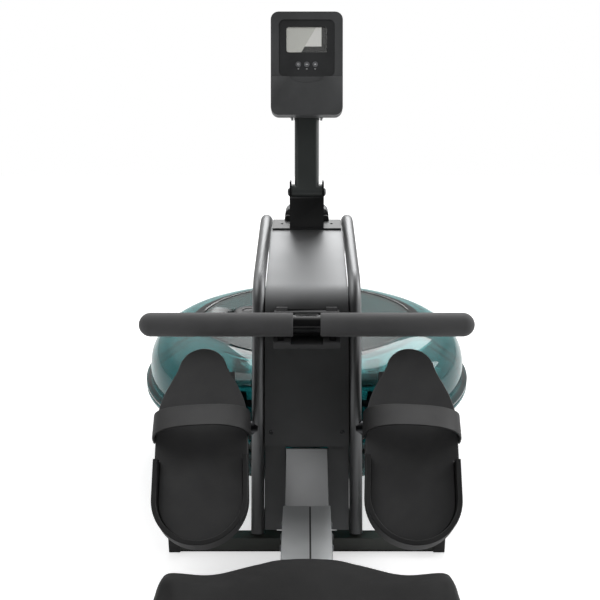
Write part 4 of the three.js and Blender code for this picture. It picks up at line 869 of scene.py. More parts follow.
class Palette:
    """Every finish of the machine, made into a material once."""

    def __init__(self, effects: Effects) -> None:
        """Builds the materials.

        Args:
            effects: The shared node groups.
        """
        self.effects = effects
        self.tube = self._solid("tube_powder_coat", "767778", "88898a", 0.42, metallic=0.9,
                                grain=Grain.ORANGE_PEEL, grain_scale=700.0, grain_height=0.00003,
                                clouding=0.04, wear=0.2, dust=0.006, coat=0.3, coat_roughness=0.35)
        self.casing = self._solid("casing_lacquer", "808182", "88898a", 0.48, metallic=1.0,
                                  grain=Grain.ORANGE_PEEL, grain_scale=500.0, grain_height=0.00002,
                                  clouding=0.03, wear=0.12, dust=0.006, coat=0.2, coat_roughness=0.45)
        self.post = self._solid("post_lacquer", "3c403f", "77787a", 0.45, metallic=0.3,
                                grain=Grain.ORANGE_PEEL, grain_scale=600.0, grain_height=0.00003,
                                clouding=0.04, wear=0.2, dust=0.006, coat=0.5, coat_roughness=0.3)
        self.black_paint = self._solid("black_powder_coat", "0d0e0f", "5c5d5e", 0.4, grain=Grain.ORANGE_PEEL,
                                       grain_scale=650.0, grain_height=0.00005, wear=0.25, dust=0.006,
                                       coat=0.1)
        self.bar_paint = self._solid("floor_bar_paint", "30332f", "8c8d8e", 0.4, grain=Grain.ORANGE_PEEL,
                                     grain_scale=650.0, grain_height=0.00005, wear=0.3, dust=0.02, coat=0.2)
        self.rail = self._solid("anodised_rail", "b2b4b5", "d0d0d0", 0.44, metallic=1.0, grain=Grain.BRUSHED,
                                grain_scale=1500.0, grain_height=0.00002, clouding=0.03, wear=0.3, dust=0.012)
        # The neck has its own painted finish; its tone, darker than the rail's, is painted shade from the
        # casing above it.
        self.neck = self._solid("neck_paint", "9a9b9c", "b0b0b0", 0.44, metallic=1.0, grain=Grain.ORANGE_PEEL,
                                grain_scale=700.0, grain_height=0.00003, clouding=0.03, wear=0.3, dust=0.008)
        self.black_plastic = self._solid("black_plastic", "1c1c1d", "4a4a4b", 0.38, grain_height=0.00003,
                                         dust=0.012)
        self.cradle = self._solid("cradle_plastic", "363637", "56565a", 0.42, grain_height=0.00003, dust=0.01)
        self.gloss_black = self._solid("gloss_black", "141415", "505052", 0.14, grain=Grain.ORANGE_PEEL,
                                       grain_scale=300.0, grain_height=0.00001, wear=0.2, dust=0.01, coat=0.5,
                                       coat_roughness=0.05)
        self.pedal = self._solid("pedal_plastic", "303031", "5a5a5b", 0.55, grain_scale=1400.0,
                                 grain_height=0.00006, dust=0.015)
        self.strap_rubber = self._solid("strap_rubber", "171718", "4e4e4f", 0.58, grain_scale=1100.0,
                                        grain_height=0.00002, wear=0.15, dust=0.012)
        self.foam = self._solid("grip_foam", "484849", "5c5c5c", 0.72, grain=Grain.FOAM_CELLS,
                                grain_scale=1300.0, grain_height=0.00012, wear=0.1, dust=0.015, sheen=0.15)
        self.console = self._solid("console_plastic", "48494a", "616263", 0.5, grain_scale=1800.0,
                                   grain_height=0.00004, wear=0.15, dust=0.012)
        self.face = self._solid("console_face", "313233", "4c4c4c", 0.45, grain_scale=1500.0,
                                grain_height=0.00002, wear=0.0, dust=0.008)
        self.key = self._solid("key_rubber", "5f6062", "6a6a6a", 0.5, grain_scale=1800.0,
                               grain_height=0.00003)
        self.mark = self._solid("printed_mark", "c8c9ca", "c8c9ca", 0.5, grain_height=0.00001, wear=0.0,
                                dust=0.0)
        self.steel = self._solid("blackened_steel", "5c5d5f", "b0b0b0", 0.3, metallic=1.0,
                                 grain=Grain.BRUSHED, grain_scale=1500.0, grain_height=0.00001, wear=0.4)
        self.rubber = self._solid("foot_rubber", "1b1b1b", "3c3c3c", 0.62, grain_scale=900.0,
                                  grain_height=0.00008, wear=0.2, dust=0.008)
        self.seat = self._solid("seat_skin", "0b0b0c", "3d3d3e", 0.62, grain_scale=1300.0,
                                grain_height=0.00008, wear=0.1, wear_radius=0.003, dust=0.006, clouding=0.06,
                                specular=0.15, sheen=0.04)
        # The display's grey, then its painted glare tone, then its painted bezel shadow tone.
        self.display = PanelFinish("display_panel", tone("dadbd6"), tone("f6f6f4"), tone("3e3f3f"),
                                   (0.0, 0.614, 0.7055)).build(effects)
        # The tank's upper tint is painted light: lighter above the level heights.
        self.tank = ClearFinish("tank_plastic", (0.04, 0.24, 0.25), upper=(0.18, 0.47, 0.47)).build(effects)
        self.lid = ClearFinish("lid_plastic", (0.065, 0.155, 0.15), 0.2, specular=0.1).build(effects)
        self.lens = ClearFinish("screen_lens", (0.93, 0.93, 0.92), 0.01, ior=1.3).build(effects)
        self.webbing = WebbingFinish("strap_webbing", tone("242526")).build(effects)
        self.floor = FloorFinish("floor", (0.9, 0.9, 0.9)).build(effects)

    def _solid(self, name: str, code: str, worn: str, roughness: float, **rest: float | Grain) -> Material:
        """An opaque finish's material, with its colour and its worn colour as written codes."""
        return SolidFinish(name, tone(code), roughness, worn=tone(worn), **rest).build(self.effects)


# Sub-assemblies. Sizes are millimetres; y counts from the heel bar, as in the drawing, until placed.


@dataclass
class ArchTubes:
    """The two round tubes from the heel bar over the tank to the front bar, with the pedal axles."""

    diameter: float = 19.0
    outer_width: float = 161.0
    bar_top: float = 22.0
    foot: tuple[float, float] = (-2.0, 25.8)
    corners: tuple[Point, ...] = (
        (132.0, 360.0, 60.0), (362.0, 413.0, 90.0), (600.0, 345.0, 60.0),
    )
    front_foot: tuple[float, float] = (660.0, 24.0)
    axle_height: float = 165.0
    axle_radius: float = 7.0
    collar_radius: float = 11.0
    pedal_x: float = 133.4
    boss_half: float = 31.0
    head: float = 4.0
    play: float = 0.75

    def build(self, palette: Palette) -> None:
        """Builds both tubes and their axles.

        Args:
            palette: The machine's materials.
        """
        for side in Side:
            tube = self._tube(side)
            axle = self._axle(side)
            fitted(tube, f"{side.word}_arch_tube", palette.tube)
            fitted(axle, f"{side.word}_arch_tube", palette.steel, stands_for=False)

    def _tube(self, side: Side) -> Object:
        """A circle carried along the arch: point = path + r (cos a X + sin a N), N square to the path."""
        line = arc_line([self.foot, *self.corners, self.front_foot], steps=20)
        along = np.gradient(line, axis=0)
        along /= np.linalg.norm(along, axis=1, keepdims=True)
        normal = np.stack([-along[:, 1], along[:, 0]], axis=-1)
        a = np.linspace(0.0, 2 * math.pi, 40, endpoint=False)
        r = self.diameter / 2
        x = side.value * (self.outer_width - self.diameter) / 2 + r * np.cos(a)
        grid = np.empty((len(line), len(a), 3))
        grid[..., 0] = x
        grid[..., 1:] = line[:, None, :] + r * np.sin(a)[None, :, None] * normal[:, None, :]
        grid[..., 1] += SHIFT_Y
        return skin(f"{side.word}_arch_tube_shape", grid * MM)

    def _axle(self, side: Side) -> Object:
        """The stepped pin that a pedal turns on, turned round X."""
        lean = (self.corners[0][0] - self.foot[0]) / (self.corners[0][1] - self.bar_top - FIT)
        y = self.foot[0] + (self.axle_height - self.bar_top - FIT) * lean + SHIFT_Y
        start = (self.outer_width - self.diameter) / 2
        inner = self.pedal_x - self.boss_half - self.play
        outer = self.pedal_x + self.boss_half + self.play
        outline = np.array([
            (0.5, start), (self.collar_radius, start), (self.collar_radius, inner), (self.axle_radius, inner),
            (self.axle_radius, outer), (self.collar_radius, outer), (self.collar_radius, outer + self.head),
            (0.5, outer + self.head),
        ])
        outline = rounded(outline, np.array([0.1, 0.1, 0.8, 0.1, 0.1, 0.8, 1.4, 0.2]), steps=4)
        outline[:, 1] *= side.value
        return revolve(f"{side.word}_pedal_axle", outline, (0.0, y, self.axle_height), steps=48, axis=AXIS_X)


@dataclass
class Tank:
    """The round water tank: lower and upper shells with flanges, seal, lid and fill plug."""

    y: float = 342.0 + SHIFT_Y
    flange_radius: float = 288.0
    flange: float = 5.5
    seam: float = 138.5
    seal: float = 1.4
    body: float = 278.0
    wall: float = 4.0
    bottom: float = 22.3
    top: float = 240.0
    lid_radius: float = 187.0
    lid: float = 5.0
    lid_edge: float = 3.0
    rebate: float = 7.0
    boss_radius: float = 30.0
    boss: float = 12.0
    shaft_hole: float = 9.8
    bearing_hole: float = 16.3
    plug: tuple[float, float] = (-104.0, 8.0)
    plug_radius: float = 27.0
    plug_neck: float = 22.0
    plug_depth: float = 12.0
    plug_cap: float = 9.0
    plug_bore_half: float = 10.0
    core: float = 0.3
    seal_radii: tuple[float, float] = (273.0, 280.0)
    pin: float = 2.0
    foot_boss: float = 22.0
    foot_bore: float = 8.3
    foot_top: float = 35.6
    bearing_depth: float = 9.3
    upper_shares: Pairs = (
        (1.000, 0.00), (1.003, 0.22), (0.987, 0.50), (0.930, 0.76), (0.860, 0.89), (0.770, 0.97),
    )
    lower_shares: Pairs = (
        (0.990, 0.00), (0.985, 0.22), (0.940, 0.54), (0.820, 0.85), (0.640, 1.00),
    )

    def build(self, palette: Palette) -> None:
        """Builds the shells, seal, lid and plug.

        Args:
            palette: The machine's materials.
        """
        fitted(self._lower(), "tank_lower_shell", palette.tank)
        fitted(self._upper(), "tank_upper_shell", palette.tank)
        seal = band(*self.seal_radii, -self.seal / 2, self.seal / 2)
        fitted(revolve("tank_seal_shape", seal, (0.0, self.y, self.seam)), "tank_seal", palette.tank)
        fitted(self._lid(), "tank_lid", palette.lid)
        fitted(self._plug(), "fill_plug", palette.black_plastic)

    def _curve(self, shares: Pairs, base: float, rise: float, inset: float) -> np.ndarray:
        """A shell's side as (radius, height): a smooth curve through its shares of radius and rise."""
        knots = np.array([(r * self.body - inset, base + h * rise) for r, h in shares])
        return smooth_curve(knots, 28)

    def _lower(self) -> Object:
        """The lower shell: outside, flange, inside and the shaft's foot boss, turned round the axis."""
        flange_top = self.seam - self.seal / 2 - FIT
        base = flange_top - self.flange
        floor = self.bottom + self.wall
        outer = self._curve(self.lower_shares, base, self.bottom - base, 0.0)
        inner = self._curve(self.lower_shares, base, floor - base, self.wall)
        rim = self.flange_radius
        profile = np.concatenate([
            [(self.pin, self.bottom)], outer[::-1], [(rim, base), (rim, flange_top)],
            [(self.body - self.wall, flange_top)], inner,
            [(self.foot_boss, floor), (self.foot_boss, self.foot_top), (self.foot_bore, self.foot_top),
             (self.foot_bore, floor), (self.pin, floor)],
        ])
        return revolve("tank_lower_shell_shape", profile, (0.0, self.y, 0.0), steps=180)

    def _upper(self) -> Object:
        """The upper shell: flange, outside, the lid's rebate and the inside, turned round the axis."""
        bottom = self.seam + self.seal / 2 + FIT
        base = bottom + self.flange
        rise = self.top - base
        outer = self._curve(self.upper_shares, base, rise, 0.0)
        inner = self._curve(self.upper_shares, base, rise - self.lid - self.wall, self.wall)
        hole = self.lid_radius + FIT
        shelf = self.top - self.lid - FIT
        rim = self.flange_radius
        profile = np.concatenate([
            [(self.body - self.wall, bottom), (rim, bottom), (rim, base)], outer,
            [(hole + self.rebate, self.top), (hole, self.top), (hole, shelf), (hole - self.rebate, shelf),
             (hole - self.rebate, shelf - self.wall)],
            inner[::-1],
        ])
        return revolve("tank_upper_shell_shape", profile, (0.0, self.y, 0.0), steps=180)

    def _lid(self) -> Object:
        """The lid with its bearing boss, turned round the axis, and then bored for the plug."""
        low, high, crown = self.top - self.lid, self.top, self.top + self.boss
        seat, r = crown - self.bearing_depth, self.lid_radius
        profile = np.array([
            (self.shaft_hole, low), (r, low), (r, high), (r - self.lid_edge, high), (self.boss_radius, high),
            (self.boss_radius, crown), (self.bearing_hole, crown), (self.bearing_hole, seat),
            (self.shaft_hole, seat),
        ])
        radii = np.array([0.2, 0.6, 1.2, 0.1, 2.0, 1.5, 0.3, 0.2, 0.2])
        lid = revolve("tank_lid_shape", rounded(profile, radii, steps=4), (0.0, self.y, 0.0), steps=180)
        x, back = self.plug
        post = band(self.core, self.plug_neck + FIT, -self.plug_bore_half, self.plug_bore_half)
        bored(lid, revolve("plug_bore", post, (x, self.y + back, high), steps=64))
        return lid

    def _plug(self) -> Object:
        """The plug: a neck in the lid under a low cap, turned round its own axis."""
        r, n, cap = self.plug_radius, self.plug_neck, self.plug_cap
        profile = np.array([
            (0.5, -self.plug_depth), (n, -self.plug_depth), (n, FIT), (r, FIT), (r, cap * 0.7),
            (r * 0.9, cap), (r * 0.45, cap), (r * 0.4, cap - 1.5), (0.5, cap - 1.5),
        ])
        radii = np.array([0.1, 1.5, 0.3, 1.0, 1.5, 1.5, 0.8, 0.8, 0.1])
        x, back = self.plug
        profile = rounded(profile, radii, steps=4)
        return revolve("fill_plug_shape", profile, (x, self.y + back, self.top), steps=72)


@dataclass
class FloorFrame:
    """Floor bars, base tubes, rubber shoes, rear foot and transport wheels."""

    bar_edge: float = 1.6
    shoe_edge: float = 0.8
    wheel_radius: float = 25.0
    wheel_half: float = 11.0
    tread: float = 4.0
    web_sunk: float = 4.0
    shoulder: float = 3.0
    hub_half: float = 12.1
    hub_radius: float = 10.0
    bore: float = 5.5
    wheel_x: float = 150.0
    wheel_y: float = 700.0 + SHIFT_Y
    wheel_z: float = 28.0

    def build(self, palette: Palette) -> None:
        """Builds the pieces that stand on the floor.

        Args:
            palette: The machine's materials.
        """
        soften("base_frame", palette.bar_paint, self.bar_edge, segments=4)
        soften("rear_foot", palette.black_paint, self.bar_edge)
        for node in ("heel_bar_shoe", "front_bar_shoe", "rear_foot_shoe"):
            soften(node, palette.rubber, self.shoe_edge)
        for side in Side:
            centre = (side.value * self.wheel_x, self.wheel_y, self.wheel_z)
            wheel = self._wheel(f"{side.word}_wheel_shape", centre)
            fitted(wheel, f"{side.word}_transport_wheel", palette.rubber)

    def _wheel(self, name: str, centre: Point) -> Object:
        """A wheel's section turned round X: hub, web, and a tread with round shoulders."""
        r, half, hub = self.wheel_radius, self.wheel_half, self.hub_radius
        inside, web = r - self.tread, half - self.web_sunk
        profile = mirrored([
            (self.bore, -self.hub_half), (hub, -self.hub_half), (hub, -web), (inside, -web), (inside, -half),
            (r, -half + self.shoulder),
        ])
        radii = np.array([0.4, 1.0, 1.5, 1.5, 0.8, 3.0, 3.0, 0.8, 1.5, 1.5, 1.0, 0.4])
        return revolve(name, rounded(profile, radii, steps=4), centre, steps=72, axis=AXIS_X)


@dataclass
class SeatRail:
    """The rail, the neck that joins it to the arch, its bolts and its end cap."""

    bolt_radius: float = 5.0
    bolt_head: float = 2.6
    socket_floor: float = 0.9
    shank: float = 2.6
    core: float = 0.3
    face: float = 32.8
    bolt_height: float = 66.0
    bolt_y: tuple[float, ...] = (-44.0, -69.0, -94.0)
    top: float = 90.0
    groove_x: float = 4.5
    groove_width: float = 2.4
    groove_depth: float = 1.5
    groove_skin: float = 0.05

    def build(self, palette: Palette) -> None:
        """Builds the rail and what is fastened to it.

        Args:
            palette: The machine's materials.
        """
        rail = softened("seat_rail", 0.4)
        fitted(rail, "seat_rail", palette.rail)
        # Painted shadow: the groove's faces take the dark rubber finish in place of the rail's own metal.
        self._shade_groove(rail, palette.rubber)
        # The neck's darker tone is painted shade.
        soften("rail_neck", palette.neck, 1.0)
        soften("rail_end_cap", palette.rubber, 1.5)
        for place, y in zip(("front", "middle", "rear"), self.bolt_y):
            fitted(self._bolt(place, y + SHIFT_Y), f"rail_bolt_{place}", palette.steel)

    def _shade_groove(self, rail: Object, material: Material) -> None:
        """Paints shadow into the long groove along the top: the faces that lie within it get a dark finish.
        """
        rail.data.materials.append(material)
        x, _, z = (per_face(rail.data, "center") / MM).T
        across = np.abs(x - self.groove_x) < self.groove_width * 0.6
        inside = across & (np.abs(z - self.top) < self.groove_depth) & (z < self.top - self.groove_skin)
        rail.data.polygons.foreach_set("material_index", inside.astype(np.int32))

    def _bolt(self, place: str, y: float) -> Object:
        """Two round heads with hex sockets' rims, and the shank between, turned round X."""
        r, face, head = self.bolt_radius, self.face, self.bolt_head
        floor = face + self.socket_floor
        profile = rounded(mirrored([
            (self.core, floor), (r * 0.48, floor), (r * 0.52, face + head), (r * 0.7, face + head),
            (r, face + head * 0.45), (r, face), (self.shank, face),
        ]), 0.35, steps=3)
        centre = (0.0, y, self.bolt_height)
        return revolve(f"rail_bolt_{place}_shape", profile, centre, steps=40, axis=AXIS_X)


@dataclass
class Casing:
    """The arched cover between the tubes, the lower cover, the handle's cradle and the cover screws."""

    edge: float = 1.0
    screw_radius: float = 3.2
    screw_head: float = 1.6
    screw_shank: float = 1.5
    screw_length: float = 6.5
    screw_x: float = 51.7
    screw_z: float = 162.5
    foot: tuple[float, float] = (38.9, 144.6)
    knee: tuple[float, float] = (119.0, 351.0)

    def build(self, palette: Palette) -> None:
        """Builds the covers, the screws and the cradle.

        Args:
            palette: The machine's materials.
        """
        soften("casing_cover", palette.casing, self.edge, segments=4, degrees=40)
        soften("lower_cover", palette.casing, 1.2)
        soften("handle_cradle", palette.cradle, 1.4, segments=4)
        for side in Side:
            fitted(self._screw(side), f"{side.word}_cover_screw", palette.steel)

    def _screw(self, side: Side) -> Object:
        """A pan head with a cross recess's round hollow, turned round the casing's normal."""
        lean = math.atan2(self.knee[0] - self.foot[0], self.knee[1] - self.foot[1])
        y = self.foot[0] + (self.screw_z - self.foot[1]) * math.tan(lean) + SHIFT_Y
        out = (0.0, -math.cos(lean), math.sin(lean))
        r, h, shank = self.screw_radius, self.screw_head + FIT, self.screw_shank
        profile = np.array([
            (0.2, h - 0.9), (r * 0.4, h - 0.9), (r * 0.45, h), (r * 0.75, h), (r, h * 0.5), (r, FIT),
            (shank, FIT), (shank, -self.screw_length), (0.2, -self.screw_length),
        ])
        return revolve(f"{side.word}_cover_screw_shape", rounded(profile, 0.25, steps=3),
                       (side.value * self.screw_x, y, self.screw_z), steps=32, axis=out)


@dataclass
class Drive:
    """What turns in the tank and above its lid. Most of it is seen through the clear shells only."""

    def build(self, palette: Palette) -> None:
        """Dresses the drive's pieces.

        Args:
            palette: The machine's materials.
        """
        for node in ("impeller_shaft", "shaft_bearing", "one_way_clutch", "recoil_spring"):
            dressed(node, palette.steel)
        for node in ("strap_run", "strap_span"):
            dressed(node, palette.webbing)
        soften("impeller", palette.black_plastic, 0.8)
        soften("strap_drum", palette.black_plastic, 0.5)
        soften("idler_roller", palette.black_plastic, 0.5)
        soften("drive_bridge", palette.black_paint, 0.6)
        soften("idler_bracket", palette.black_paint, 0.6)


@dataclass
class Handle:
    """The bar with its two foam grips and the block that the strap is fixed to."""

    y: float = 77.0 + SHIFT_Y
    z: float = 317.0
    bar_radius: float = 14.0
    bar_wall: float = 2.0
    grip_radius: float = 17.2
    grip_start: float = 19.5
    grip_shoulder: float = 2.2
    core: float = 0.2
    half: float = 240.0
    block: Point = (36.0, 22.0, 3.0)
    block_run: tuple[float, float] = (13.2, 19.0)

    def build(self, palette: Palette) -> None:
        """Builds the bar and the grips.

        Args:
            palette: The machine's materials.
        """
        fitted(self._bar(), "handle_bar", palette.gloss_black)
        for side in Side:
            fitted(self._grip(side), f"{side.word}_grip", palette.foam)

    def _bar(self) -> Object:
        """The tube turned round X, with the rounded block joined behind it."""
        r, half = self.bar_radius, self.half - self.grip_radius
        profile = rounded(band(r - self.bar_wall, r, -half, half), 0.4, steps=3)
        bar = revolve("handle_bar_shape", profile, (0.0, self.y, self.z), steps=96, axis=AXIS_X)
        start, end = (self.y + run for run in self.block_run)
        block = extruded("anchor", rounded_rect(*self.block, (0.0, self.z)), start, end, rim=1.2, axis="y")
        bored(bar, block, "UNION")
        shaded_by_angle(bar, 40, weighted=True)
        return bar

    def _grip(self, side: Side) -> Object:
        """A foam sleeve turned round X: a soft shoulder by the middle, and a domed outer end."""
        r, bore = self.grip_radius, self.bar_radius + FIT
        end = self.half - r
        a = np.linspace(0.0, math.pi / 2, 14)
        dome = np.stack([np.maximum(r * np.cos(a), self.core), end + r * np.sin(a)], axis=-1)
        shoulder = rounded(np.array([(bore, self.grip_start), (r, self.grip_start), (r, end)]),
                           np.array([0.1, self.grip_shoulder, 0.1]), steps=6, closed=False)
        profile = np.concatenate([shoulder[:-6], dome, [(self.core, end + FIT), (bore, end + FIT)]])
        profile[:, 1] *= side.value
        return revolve(f"{side.word}_grip_shape", profile, (0.0, self.y, self.z), steps=96, axis=AXIS_X)


@dataclass
class ConsoleUnit:
    """The display on its folding post, with the post's bracket and the two hinge bolts."""

    pivot: tuple[float, float] = (355.0 + SHIFT_Y, 461.5)
    hinge: tuple[float, float] = (391.33 + SHIFT_Y, 588.19)
    lean: float = math.radians(16.0)
    front: float = -40.0
    top: float = 162.6
    face_width: float = 93.0
    face_height: float = 94.0
    face_top: float = 13.0
    recess: float = 1.2
    key_pitch: float = 14.0
    key_z: float = 75.6
    key_radius: float = 4.6
    key_proud: float = 0.9
    key_height: float = 4.2
    key_core: float = 0.15
    key_soft: float = 0.5
    dish: float = 0.45
    dish_inset: float = 1.1
    sign_sunk: float = 0.3
    sign_proud: float = 0.12
    sign_deep: float = 0.2
    sign_bar: Point = (3.6, 1.2, 0.4)
    sign_ring: tuple[float, float] = (1.0, 1.7)
    sign_dot: tuple[float, float] = (0.2, 1.3)
    label: Point = (2.8, 0.9, 0.3)
    label_drop: float = 7.4
    label_run: tuple[float, float] = (0.1, 0.01)
    face_near: float = 0.5
    face_level: float = 0.9
    core: float = 0.3
    pivot_bolt: tuple[float, ...] = (29.6, 7.0, 3.4, 4.0)
    hinge_bolt: tuple[float, ...] = (26.95, 5.5, 2.75, 3.0)

    def build(self, palette: Palette) -> None:
        """Builds the bracket, the post and the console.

        Args:
            palette: The machine's materials.
        """
        soften("post_bracket", palette.black_paint, 1.0)
        soften("console_post", palette.post, 1.8, segments=4, degrees=40)
        fitted(self._bolt("pivot_bolt_shape", self.pivot, *self.pivot_bolt), "pivot_bolt", palette.steel)
        fitted(self._bolt("console_bolt_shape", self.hinge, *self.hinge_bolt), "console_bolt", palette.steel)
        shell = softened("console_front", 1.4, segments=4)
        fitted(shell, "console_front", palette.console)
        self._darken(shell, palette.face)
        soften("console_back", palette.console, 1.4, segments=4)
        soften("screen_lens", palette.lens, 0.4)
        dressed("display_board", palette.display)
        for place, name in zip((-1, 0, 1), ("left", "middle", "right")):
            fitted(self._key(place), f"key_{name}", palette.key)
            fitted(self._sign(place), f"key_{name}", palette.mark, stands_for=False)
            fitted(self._label(place), "console_front", palette.mark, stands_for=False)

    def _darken(self, shell: Object, material: Material) -> None:
        """Gives the sunken face its own finish: faces near its depth, above a cut along its lower edge."""
        shell.data.materials.append(material)
        low = self.top - self.face_top - self.face_height
        turn = self._tilt().to_3x3()
        work = bmesh.new()
        work.from_mesh(shell.data)
        bmesh.ops.bisect_plane(
            work, geom=[*work.verts, *work.edges, *work.faces], dist=1e-6,
            plane_co=(turn @ Vector((0.0, self.front, low)) + Vector((0.0, *self.hinge))) * MM,
            plane_no=turn @ Vector((0.0, 0.0, 1.0)),
        )
        work.to_mesh(shell.data)
        work.free()
        back = np.array(self._tilt().inverted())[:3, :3]
        at = (per_face(shell.data, "center") / MM - (0.0, *self.hinge)) @ back.T
        ahead = per_face(shell.data, "normal") @ back.T
        near = np.abs(at[:, 1] - self.front - self.recess) < self.face_near
        across = np.abs(at[:, 0]) < self.face_width / 2
        sunk = (ahead[:, 1] < -self.face_level) & near & across & (at[:, 2] > low)
        shell.data.polygons.foreach_set("material_index", sunk.astype(np.int32))

    def _tilt(self) -> Matrix:
        """The console's lean."""
        return Matrix.Rotation(-self.lean, 4, "X")

    def _leaned(self, piece: Object) -> Object:
        """The piece, turned and moved from the console's own lines to its place."""
        return placed(piece, self._tilt(), (0.0, *self.hinge))

    def _bolt(self, name: str, at: tuple[float, float], half: float, radius: float, head: float,
              shank: float) -> Object:
        """Two domed heads and the shank between them, turned round X."""
        profile = rounded(mirrored([
            (self.core, half + head * 0.6), (radius * 0.4, half + head * 0.6), (radius * 0.44, half + head),
            (radius * 0.62, half + head * 0.93), (radius, half + head * 0.3), (radius, half), (shank, half),
        ]), 0.3, steps=3)
        return revolve(name, profile, (0.0, *at), steps=40, axis=AXIS_X)

    def _key(self, place: int) -> Object:
        """A round key with a shallow dished top, turned round the face's normal."""
        r, top = self.key_radius, -(self.front + self.recess - self.key_proud)
        low, core, soft = top - self.key_height, self.key_core, self.key_soft
        a = np.linspace(0.0, 1.0, 8)
        dish = np.stack([core + (r - self.dish_inset) * a, top - self.dish * (1 - a**2)], axis=-1)
        profile = np.concatenate([dish, [(r - soft, top), (r, top - soft), (r, low), (core, low)]])
        key = revolve(f"key_shape_{place + 1}", profile, (place * self.key_pitch, 0.0, self.key_z), steps=40,
                      axis=(0.0, -1.0, 0.0))
        return self._leaned(key)

    def _sign(self, place: int) -> Object:
        """A plain printed sign on each key: a ring, a bar or a dot."""
        at = (place * self.key_pitch, 0.0, self.key_z)
        face = -(self.front + self.recess - self.key_proud) - self.sign_sunk
        if place == 0:
            outline = rounded_rect(*self.sign_bar, (at[0], at[2]), steps=4)
            mark = extruded("key_sign_1", outline, -face - self.sign_proud, -face + self.sign_deep, axis="y")
        else:
            rims = self.sign_ring if place < 0 else self.sign_dot
            profile = band(*rims, face - self.sign_deep, face + self.sign_proud)
            mark = revolve(f"key_sign_{place + 1}", profile, at, steps=32, axis=(0.0, -1.0, 0.0))
        return self._leaned(mark)

    def _label(self, place: int) -> Object:
        """A short plain dash printed under each key."""
        face = self.front + self.recess
        centre = (place * self.key_pitch, self.key_z - self.label_drop)
        start, end = (face - off for off in self.label_run)
        outline = rounded_rect(*self.label, centre, steps=4)
        mark = extruded(f"key_label_{place + 1}", outline, start, end, axis="y")
        return self._leaned(mark)


